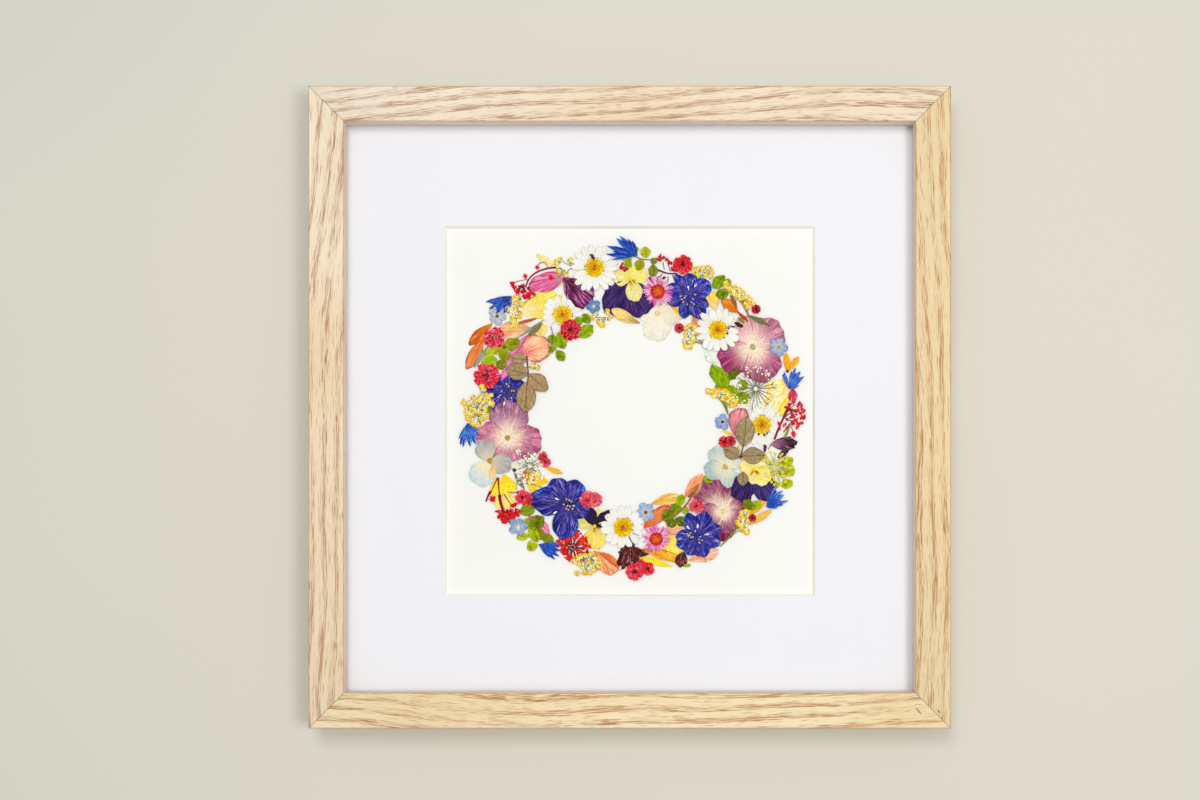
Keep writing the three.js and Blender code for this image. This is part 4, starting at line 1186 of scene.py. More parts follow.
def addHead(mesh, at, size, lift, tones, outward):
    # cream florets, golden on the spray's outer side
    # a flat bud in the base tone under each head is painted shade between the florets
    addBud(mesh, at, size * 0.75, lift - 0.04, tones["base"], 0, 0.06, 0.4, 2)
    for i in range(5):
        angle = i * math.tau / 5 + random.uniform(-0.5, 0.5)
        spot = spotAround(at, size * 0.36, angle)
        radius = size * random.uniform(0.20, 0.30)
        addBud(mesh, spot, radius, lift + 0.10, tones["middle"], 0, 0.3, 0.7)
    for i in range(8):
        angle = outward + (i - 3.5) * math.tau / 8 + random.uniform(-0.3, 0.3)
        spot = spotAround(at, size * 0.82, angle)
        pale = random.choice((tones["middle"], tones["middle"], tones["base"], tones["stalk"]))
        tone = random.choice((tones["rim"], tones["rim"], tones["shade"])) if 2 <= i <= 5 else pale
        wide = random.uniform(0.38, 0.52) if 2 <= i <= 5 else random.uniform(0.22, 0.36)
        addBud(mesh, spot, size * wide, lift, tone, 0, 0.3, 0.7)


def makeYarrow():
    for name, look in yarrowSprays.items():
        mesh = newSpecimen()
        lift = layerLift(look["layer"])
        foot = Vector(look["foot"])
        middle = sum((Vector(head) for head in look["heads"]), Vector((0, 0))) / len(look["heads"])
        for head in look["heads"][::2]:
            end = Vector(head)
            bend = foot.lerp(middle, 0.55).lerp(end, 0.25)
            addStem(mesh, [foot, bend, end], 0.40, lift - 0.02, yarrowTones["stalk"])
        for head in look["heads"]:
            outward = math.atan2(head[1] - middle.y, head[0] - middle.x) + random.uniform(-0.4, 0.4)
            addHead(mesh, head, look["size"] * random.uniform(0.95, 1.3), lift + 0.06, yarrowTones, outward)
        if look.get("node"):
            finishSpecimen(mesh, name + "_pressed", ["grainy"], name)
        else:
            finishSpecimen(mesh, name, ["grainy"])


forgetMeNots = {    # x, y, radius, layer, tint, heart and eye
    "forget_me_not_left": (-70.0, 50.2, 4.9, 1.6, "b9d7f1", "e2ecf4", "6a6058"),
    "forget_me_not_inner": (-19.1, 55.2, 3.9, 3.5, "5d9ee3", "a8c8ee", "f3d9a8"),
    "forget_me_not_top_right": (78.3, 34.1, 5.3, 3.2, "9cbdec", "cfdff4", "b8a070"),
    "forget_me_not_right": (48.8, -5.6, 4.3, 3.1, "8ab5ee", "c4dbf6", "3c3c58"),
    "forget_me_not_bottom_left": (-58.9, -60.9, 5.0, 3.1, "90b8e6", "c8dcf0", "d8d8c8"),
    "forget_me_not_bottom": (8.3, -53.2, 5.1, 2.9, "a2caf4", "d4e6f8", "8a5c34"),
}


def makeForgetMeNots():
    for name, (x, y, radius, layer, tint, heart, eye) in forgetMeNots.items():
        mesh = newSpecimen()
        lift = layerLift(layer)
        start = random.uniform(0, 72)
        for i in range(5):
            turn = start + i * 72 + random.uniform(-8, 8)
            length = radius * random.uniform(0.9, 1.08)
            addPetal(mesh, (x, y), turn, length, radius * 0.86, lift + 0.03 * i, "broad", tint, heart, 0)
        addBud(mesh, (x, y), radius * 0.2, lift + 0.16, eye, 1, 0.3, 0.4, 2)
        finishSpecimen(mesh, name, ["hydrangea_sepal", "grainy"])


ruffledHeads = {    # x, y, radius, layer and tones
    "bud_inner_top": (26.0, 43.9, 2.8, 2.6, "c8102e", "e03c50", "5c0a1c"),
    "bud_arc": (66.5, 53.9, 2.6, 3.6, "c41430", "de3c50", "5c0a1c"),
    "carnation_small_1": (-46.2, -23.6, 2.8, 3.4, "d41c3c", "ec5468", "7c0c20"),
    "carnation_small_2": (-44.5, -26.7, 2.9, 3.2, "d83450", "f06c80", "8c1028"),
    "carnation_right": (49.9, -16.1, 3.3, 3.1, "e0122c", "f04858", "5c0814"),
    "carnation_right_2": (53.1, -15.6, 3.0, 3.2, "e41c34", "f25060", "6c0a18"),
    "celosia_left": (-56.7, -45.4, 4.2, 2.6, "e63c60", "f47c94", "a81c3c"),
    "celosia_left_2": (-53.0, -46.2, 3.3, 2.7, "d82448", "ec5c78", "8c1430"),
    "celosia_bottom_left": (-22.0, -46.5, 4.7, 4.0, "e8506c", "f88ca0", "b82c4c"),
    "celosia_bottom_left_2": (-18.5, -46.5, 4.2, 4.1, "ec5c74", "fa98a8", "b83050"),
    "celosia_magenta": (35.2, -49.9, 4.2, 3.2, "f0506c", "fa8ca0", "b82444"),
    "celosia_bottom": (2.5, -84.6, 4.9, 3.1, "e83054", "f47890", "a01430"),
    "celosia_bottom_2": (9.5, -83.0, 3.7, 3.0, "ea1c3c", "f45068", "a01028"),
    "celosia_bottom_3": (5.7, -80.4, 2.7, 2.9, "e02848", "f05c74", "8c1028"),
    "bud_corner": (64.6, -56.2, 2.2, 4.1, "b8102c", "d83048", "2c080c"),
    "bud_dark_bottom": (2.9, -78.3, 2.2, 2.7, "3c1014", "5c1c20", "1c0608"),
}


def makeRuffledHeads():
    for name, (x, y, radius, layer, *tones) in ruffledHeads.items():
        mesh = newSpecimen()
        addRuffles(mesh, (x, y), radius, layerLift(layer), tones)
        finishSpecimen(mesh, name, ["crinkled_petal"])


makeYarrow()
makeForgetMeNots()
makeRuffledHeads()
print("yarrow, forget-me-nots and small ruffled heads are made")


redSprays = {    # stems are (width, points), buds are (x, y, radius)
    "red_spray_top_left": {
        "layer": 1.8, "tones": ("e00c28", "8c1420"),
        "stems": [
            (1.0, [(-39, 76), (-44.4, 75.3), (-50, 73), (-53.4, 69.7), (-55, 66)]),
            (0.4, [(-61.3, 68), (-58, 69), (-53.7, 69.7)]),
            (0.4, [(-49, 76.6), (-47, 78.6), (-44.6, 78.4), (-43.4, 76.2)]),
            (0.5, [(-58.8, 65.6), (-55.6, 66.2), (-52.4, 63)])],
        "bright": [
            (-62, 67.8, 1.4), (-61, 65.6, 1.3), (-59.6, 62.9, 1.5), (-56, 61, 1.4), (-54.8, 60.6, 1.5),
            (-53, 62.4, 1.4), (-51, 62, 1.3), (-53.7, 60.3, 1.2), (-55, 71.3, 1.3), (-49.2, 76, 1.2),
            (-41.6, 70.6, 1.3)],
        "dark": [
            (-57.8, 65.6, 1.2), (-56.2, 66.3, 1), (-58.8, 64.2, 1), (-55.5, 63.6, 1.1), (-57, 63, 0.9),
            (-56, 64.8, 0.9), (-53.7, 65, 0.8)]},
    "red_spray_top": {
        "layer": 2.3, "tones": ("d01430", "6c1c20"),
        "stems": [
            (0.9, [(14.8, 74.7), (19.5, 73), (25.3, 72.6)]),
            (0.5, [(14, 70.4), (16.3, 71.6), (17.2, 73)]), (0.4, [(17.5, 79), (17.7, 77), (18.3, 74.8)]),
            (0.4, [(20, 79), (20.7, 75.8), (21.5, 73.8)]), (0.4, [(23.2, 75), (23.5, 73)]),
            (0.4, [(20.2, 71.3), (19.8, 67.4)]), (0.4, [(22.5, 72), (23.5, 69)])],
        "bright": [
            (15, 80.3, 1), (16, 81.7, 1.1), (17.5, 81, 1), (16, 80.2, 0.8), (19.5, 80.3, 1.1),
            (20.7, 78.7, 1.1), (21.8, 78, 0.8), (22.5, 75.5, 1.2), (11, 70, 1.1), (11, 68, 1.1),
            (12, 69, 0.8)],
        "dark": [(18, 70.7, 1), (23, 74.5, 0.8), (14.3, 80.2, 0.5)]},
    "red_bud_top": {
        "layer": 3.5, "tones": ("c81c34", "5c1418"), "stems": [],
        "bright": [(-4, 75.7, 1.4), (-2.4, 74.8, 1.3), (-4, 77.7, 0.8)], "dark": []},
    "dark_bud_daisy": {
        "layer": 4.2, "tones": ("8c1420", "3c1210"),
        "stems": [(0.6, [(-18.8, 77.7), (-19.2, 80), (-20, 82.2)])], "bright": [(-20.4, 82.3, 0.9)],
        "dark": [(-19.6, 81, 1)]},
    "red_spray_right": {
        "layer": 2.8, "tones": ("e01434", "8c2434"),
        "stems": [
            (0.5, [(81, -11), (84.4, -6.5), (87.2, -4.4)]), (0.5, [(79.4, -7), (82.2, -2), (84.4, 2.2)]),
            (1.2, [(76.2, -14.8), (78.3, -9.4), (80.6, -4.3), (82.7, 0.6), (85.2, 4.4)]),
            (0.5, [(80.6, -4.3), (83.8, -1.3), (86.6, 0.6)]), (0.5, [(79, -8.2), (77.8, -5)]),
            (0.4, [(82.2, -0.5), (86, 2.7), (88.7, 3.8)]),
            (0.4, [(82.7, -4.3), (86, -4.8), (89.2, -3.2)]), (0.4, [(85.2, -8), (86.2, -10.7)])],
        "bright": [
            (89.3, 4.2, 1.1), (90.6, 3.3, 1), (90.8, 1.5, 0.9), (88.7, 2.6, 0.9), (92, -3, 1.3),
            (90.4, -3.3, 1), (88.7, -6.5, 1.3), (86, -6, 1.1), (86.5, -2.8, 1), (84, 3.8, 1.1),
            (79, -6.5, 1.1), (79, -8.7, 1), (81.2, -7.4, 0.9), (86.3, -11.3, 1.3), (86.6, -13, 0.8),
            (89.2, 0.6, 0.6), (86.5, 4.8, 1.0), (88.2, 0.4, 1.1), (90, -1, 1.0), (91.5, 0, 1.1),
            (85.5, -1.2, 1.0), (87.4, -4.6, 1.1), (90.4, -6.2, 1.1), (83, -9, 0.9), (88.2, -8.4, 1.0),
            (82.2, 2.2, 1.0)],
        "dark": [
            (85, -3.3, 0.9), (85.4, 0.5, 1), (87.2, 0.5, 0.8), (83, -4.3, 0.9), (87.7, -1.6, 0.6),
            (83.8, 0.6, 0.6), (82.2, -6.4, 0.6)]},
    "red_spray_left": {
        "layer": 1.9, "tones": ("d80c1c", "8c1014"),
        "stems": [
            (0.9, [(-69.5, -34.7), (-69.3, -39.5), (-68.8, -44.3)]),
            (1.9, [(-68.8, -44), (-68.4, -47.5), (-67, -52)]),
            (0.6, [(-70, -35.3), (-72.2, -40), (-73.6, -43.6)]),
            (1.2, [(-73.6, -42), (-75, -45), (-76, -47.6)]),
            (0.5, [(-66.5, -43.6), (-64, -47.5), (-62.2, -49.4)]),
            (0.5, [(-64.5, -42.4), (-61.3, -43), (-58.5, -41.8)])],
        "bright": [
            (-72.5, -45.6, 1.4), (-73, -46.7, 1.2), (-71.7, -47, 0.9), (-61.5, -49.6, 1.4),
            (-60, -49, 0.8), (-69.3, -52.7, 1.2), (-68.3, -54.2, 1.3), (-69, -55.8, 1.2),
            (-67.4, -57, 1.4), (-65.8, -57.8, 1.3), (-64.2, -57, 1.3), (-62.6, -56, 1.3), (-61, -55, 1.3),
            (-59.4, -54.2, 1.3), (-58.7, -53, 1), (-60, -52, 1), (-62.3, -52.3, 1), (-64, -53.6, 1.2),
            (-65.5, -55.2, 1.2), (-66.8, -58.7, 0.9), (-61.7, -53.6, 1.2), (-66.5, -54.2, 1)],
        "dark": [
            (-67, -52.6, 1.2), (-65.8, -53.2, 0.9), (-64.5, -52.3, 0.9), (-63.3, -54.8, 0.9),
            (-65.2, -56.4, 0.9), (-67.7, -55.5, 0.8), (-60.4, -53.6, 0.8), (-63.3, -52.6, 0.6)]},
}
stems = {    # layer, width, points, tint
    "stem_green_top": (2.1, 1.3, [(-38.8, 68.6), (-37, 72), (-34.3, 74.8)], "98a66e"),
    "stem_olive_leafy": (3.1, 0.6, [(-2.3, 82.2), (2.8, 81.7), (6.7, 80.3), (12, 80)], "7c6a34"),
    "stem_yellow_petal": (1.0, 0.6, [(-57.5, 55.2), (-54.3, 58.5), (-49.7, 61.2)], "8c8a56"),
    "stem_heather": (2.7, 1.4, [(81.6, -14), (83.3, -10.2), (84.5, -7)], "7c9a52"),
    "stem_daisy_right": (5.6, 0.6, [(55, 44.5), (53, 45), (51.4, 44.6)], "5c2430"),
    "stem_inner_left": (3.1, 0.4, [(-41.8, 44.6), (-41, 42.5), (-41, 40.3)], "5c5026"),
    "stem_left_olive": (1.7, 0.6, [(-55, -38), (-50, -38.8), (-46, -40.4)], "8a8438"),
    "stem_left_green": (1.6, 0.6, [(-58.8, -37.2), (-60, -38.8), (-59.7, -41)], "8a9a48"),
    "stem_pale_bottom": (2.6, 0.8, [(-51.6, -68.8), (-49.5, -69.5), (-47.6, -70.2)], "d8d4b8"),
    "tendril_bottom": (
        3.3, 1.0, [(36, -38.8), (33.5, -43.6), (30, -48.8), (26.5, -52.7), (23.3, -55.7)], "b25c22"),
    "stem_maroon_bottom": (4.2, 0.6, [(-0.5, -66), (0.5, -68), (1.7, -70)], "4c1c1a"),
    "stem_maroon_daisy": (4.2, 0.4, [(1.5, -64.2), (4.7, -65.6)], "5c2420"),
    "stem_orange_bottom": (2.0, 0.6, [(-25.5, -74), (-21.7, -74.5), (-18.2, -74.2)], "d8641c"),
    "stem_orange_petal": (1.9, 0.5, [(-15.6, -74.7), (-10.2, -79.5), (-5, -84)], "b84414"),
    "stem_orange_petal_2": (4.0, 0.6, [(36, -76.6), (39.3, -77.2), (40, -79.6)], "ea7c1c"),
    "stem_peach": (2.9, 0.6, [(17.2, -73.2), (22, -74.7), (26, -77)], "e8782c"),
    "stem_plum": (2.2, 0.5, [(73, -20), (74, -18.3), (75.2, -16.7)], "9a8a5c"),
    "stem_arc_thin": (2.9, 0.4, [(63, 49.6), (64.2, 46.4), (64.8, 43)], "8a7a50"),
}


def makeSprays():
    for name, look in redSprays.items():
        mesh = newSpecimen()
        lift = layerLift(look["layer"])
        bright, dark = look["tones"]
        for width, points in look["stems"]:
            addStem(mesh, points, width, lift, dark)
        for tone, row in ((bright, look["bright"]), (dark, look["dark"])):
            for x, y, radius in row:
                addBud(mesh, (x, y), radius * 0.66, lift + 0.1, tone, 0, 0.35, 1.0, 2)
                for _ in range(5):
                    angle = random.uniform(0, math.tau)
                    away = radius * random.uniform(0.6, 1.05)
                    spot = spotAround((x, y), away, angle)
                    grain = radius * random.uniform(0.25, 0.5)
                    grainTone = random.choice((tone, dark, bright))
                    addBud(mesh, spot, grain, lift + 0.06, grainTone, 0, 0.35, 1.0)
        finishSpecimen(mesh, name, ["grainy"])
    for name, (layer, width, points, tint) in stems.items():
        mesh = newSpecimen()
        addStem(mesh, points, width, layerLift(layer), tint)
        finishSpecimen(mesh, name, ["grainy"])


makeSprays()
print("red sprays and stems are made")


# each leaf is (x, y, turn, length, width, layer, tint, heart)
leafSprigs = {
    "leaf_sprig_inner_top": [
        (-30, 46, 31, 5.8, 4.5, 2.2, "7da51f", "5c7f14"),
        (-21, 46.5, 129, 6.1, 4.7, 2.2, "7aa41c", "5c7f14"),
        (-27.3, 39.2, 36, 9.7, 6.7, 2.2, "86b21c", "699114")],
    "leaf_sprig_inner_left": [
        (-37.5, 41.8, -76, 9, 6.3, 2.0, "7fa828", "5f8414"),
        (-41, 35.6, 90, 5, 4.9, 3.0, "6f9024", "55701c"),
        (-40, 31.8, 170, 7.7, 5, 2.6, "7c9a28", "5f7c1c"),
        (-41, 36.8, -73, 4.8, 3.1, 2.8, "88a838", "68862a"),
        (-38.8, 32.2, -51, 6.7, 5, 2.0, "789c28", "5c7c1a")],
    "leaf_sprig_left": [
        (-67.4, 33.7, 18, 10, 6.7, 1.7, "82963f", "5a6028"),
        (-72, 30.4, 30, 9.7, 5.4, 1.75, "9cb04c", "74843a"),
        (-77, 28.8, 42, 8.6, 5.9, 1.6, "a9c25e", "7c9a40"),
        (-69.3, 29, 1, 6.7, 4.7, 1.8, "7d9250", "5a6a30"),
        (-78.4, 25.8, 11, 8.7, 5.1, 2.1, "8fbe32", "6c9624"),
        (-70.7, 22.7, 37, 6.5, 5.3, 2.2, "76903c", "586c2a"),
        (-63.8, 29, 149, 6.2, 4.4, 1.9, "8b9c44", "68702c")],
    "leaf_sprig_left_low": [
        (-72.6, 0, 160, 4.5, 3.3, 3.6, "76962e", "4c6420"),
        (-76.8, -9, -119, 5.8, 4.2, 0.9, "7c9c34", "566e24")],
    "leaf_sprig_top": [
        (3.5, 84.3, 90, 2.6, 2.7, 3.2, "98b830", "7a9828"),
        (8.8, 81, 101, 5.9, 5.4, 3.2, "a4b828", "80941c"),
        (1, 80, 165, 5.6, 3.5, 3.2, "8caa38", "6c8428"),
        (0.4, 79.5, -123, 4.7, 4.1, 3.3, "8c9e3a", "6c5c28"),
        (6, 80.7, -104, 6.6, 5.1, 3.3, "8ba032", "6a5a26"),
        (11.3, 80.7, -45, 3.6, 3.8, 3.2, "7a8c48", "5c6c34"),
        (12.3, 77.6, -89, 6.5, 5.2, 3.3, "7b8c4e", "5a6a38")],
    "leaf_sprig_arc": [
        (50, 71.7, -133, 9, 6.1, 3.7, "76a41e", "588014"),
        (51.8, 66, 89, 4.1, 3.5, 3.6, "86a432", "648020"),
        (52.2, 62.5, -170, 7, 5.4, 3.8, "6c9024", "4e6c18")],
    "leaf_sprig_right": [
        (52, 12.5, 128, 14.7, 8.1, 2.3, "7faa1e", "5e8412"),
        (52, 12.4, 176, 7.1, 7, 2.35, "7ca81c", "5a8012"),
        (48.3, 22, -75, 9.5, 7, 2.4, "86b022", "638a14"), (52, 16.8, 44, 7.8, 5, 2.5, "55761e", "3a5412"),
        (58, 8, 145, 8.4, 5.9, 2.4, "86ac22", "628414"),
        (57.4, 11.3, 50, 6.2, 5.4, 2.5, "84a622", "643818"),
        (58, 10.3, -52, 7.4, 5.9, 2.6, "80a620", "5c7c14"),
        (58.5, 9.2, -117, 7.2, 4.8, 2.45, "7ea220", "5c7c14")],
    "leaf_sprig_right_low": [
        (79, -27.6, 16, 7.6, 5, 1.6, "9abc18", "7a9a14"),
        (82.5, -32, 20, 4.7, 6.2, 1.65, "98bc1a", "789814"),
        (78.5, -31, -35, 5.4, 4.5, 1.7, "96b820", "789814"),
        (79.3, -39, 11, 7, 5.1, 1.6, "9cbe1c", "7c9c14"),
        (74, -38.2, -13, 4.7, 4.5, 1.7, "a0bc24", "7c9818")],
    "leaf_inner_right": [(43.5, -37.3, 147, 5.5, 4, 1.6, "86aa2e", "648420")],
    "leaf_sprig_bottom_left": [
        (-58.4, -53.6, 21, 8.8, 6.4, 2.0, "7c9c2e", "587420"),
        (-52.6, -62.0, 44, 9.4, 7.4, 2.4, "6c8428", "4c601c"),
        (-53, -62.3, 104, 6.2, 5, 2.2, "90b032", "6c8c24"),
        (-48.6, -68.2, 122, 8.2, 5.6, 2.3, "98b832", "74942a"),
        (-44.7, -67.4, 140, 7.4, 5.4, 2.4, "7a902a", "5a6c1e"),
        (-53, -65.6, -172, 7.0, 4.0, 1.9, "a4c434", "80a028"),
        (-49.6, -67.6, -121, 7.0, 5.4, 2.2, "a0c022", "7c9a1a"),
        (-45.6, -64.4, -50, 7.4, 5.4, 2.1, "748c36", "566a24"),
        (-51, -62.6, -70, 6.4, 4.6, 2.5, "a2be2c", "7c9a1a")],
    "leaf_sprig_bottom": [
        (25.7, -49.8, 69, 6.2, 4.6, 2.9, "88b822", "669418"),
        (22.3, -53.6, 50, 6, 6, 2.95, "749a2e", "54741e"),
        (23.7, -53.6, -157, 7.4, 6.8, 3.0, "6e8e3a", "4e6a28"),
        (23, -56.6, -119, 5, 6, 3.1, "5e7a30", "445a20"),
        (23.7, -56.8, -19, 7, 5.4, 3.2, "5a7a22", "405a16"),
        (27, -51.7, -14, 4.3, 4.1, 2.9, "84b02a", "648c1c")],
    "leaf_sprig_corner": [
        (64.8, -51.8, 133, 6.9, 5.4, 3.9, "6c8c2a", "4e6a1c"),
        (65, -52, 55, 5.8, 4.7, 3.95, "a0bc24", "7c981a")],
    "leaf_bottom": [(27.5, -81.5, 6, 4.8, 2, 1.8, "90c044", "70a030")],
}
lanceLeaves = {
    "lance_leaf_left_1": (-60, 38.2, 34, 18, 1.5, 1.9, "9aaa8e", "7c8c6c"),
    "lance_leaf_left_2": (-54, 40, 39, 10.3, 3.3, 2.0, "8c8c5e", "6a6a40"),
    "lance_leaf_left_3": (-74.3, 35.4, -122, 15.2, 2.2, 2.6, "a0b4a0", "84986c"),
    "lance_leaf_right_1": (62, 51, -27, 13.2, 2.7, 3.3, "7c8650", "5c6634"),
    "lance_leaf_right_2": (57, 49.6, -40, 4.8, 2, 2.6, "98a034", "788024"),
    "lance_leaf_low": (-61.2, -32.2, -59, 10.6, 2.6, 2.0, "8c866a", "5c5640"),
}
roseSprays = {    # leaflets are (x, y, turn, length, width) from the spray's foot
    "rose_spray_left": {
        "at": (-53.6, 15.0), "layer": 5,
        "leaflets": [
            (-0.8, 12.4, 176, 8, 6.6), (-0.3, 4.6, 166, 11.6, 9.2), (0.3, 4.6, -42, 13, 9),
            (-0.6, 0.6, -94, 16.2, 10.4)],
        "stems": [[(-0.8, 14.4), (0, 4.4), (-0.6, -1.5)]], "tones": ("b09a6a", "8c7448")},
    "rose_spray_right": {
        "at": (58.4, -24.2), "layer": 5,
        "leaflets": [(1.4, 5.6, 84, 16, 10.2), (0.4, 0.6, 2, 12.4, 9), (-0.4, 0, 150, 9.6, 7.2)],
        "stems": [[(0, -1), (0.6, 3), (1.6, 6.8)], [(1.2, 0.4), (-1.4, 0.2)]],
        "tones": ("a8986c", "84704a")},
}


def makeLeaves():
    for name, rows in leafSprigs.items():
        mesh = newSpecimen()
        for x, y, turn, length, width, layer, tint, heart in rows:
            addPetal(mesh, (x, y), turn, length, width, layerLift(layer), "leaf", tint, heart)
        finishSpecimen(mesh, name, ["green_leaf"])
    for name, (x, y, turn, length, width, layer, tint, heart) in lanceLeaves.items():
        mesh = newSpecimen()
        addPetal(mesh, (x, y), turn, length, width, layerLift(layer), "pointed", tint, heart)
        finishSpecimen(mesh, name, ["rose_leaf"])
    for name, look in roseSprays.items():
        mesh = newSpecimen()
        lift = layerLift(look["layer"])
        foot = Vector(look["at"])
        for i, (x, y, turn, length, width) in enumerate(look["leaflets"]):
            start = foot + Vector((x, y))
            addPetal(mesh, start, turn, length, width, lift + 0.03 * i, "leaflet", *look["tones"])
        for points in look["stems"]:
            line = [foot + Vector(point) for point in points]
            addStem(mesh, line, 0.7, lift + 0.12, "5c2c24", material=1)
        finishSpecimen(mesh, name + "_pressed", ["rose_leaf", "grainy"], name)
    mesh = newSpecimen()
    addPetal(mesh, (59.6, -31.8), -90, 7.5, 6.2, layerLift(4.6), "leaflet", "a8946a", "84704a")
    finishSpecimen(mesh, "rose_leaflet_loose", ["rose_leaf"])


makeLeaves()
print("leaves are made")


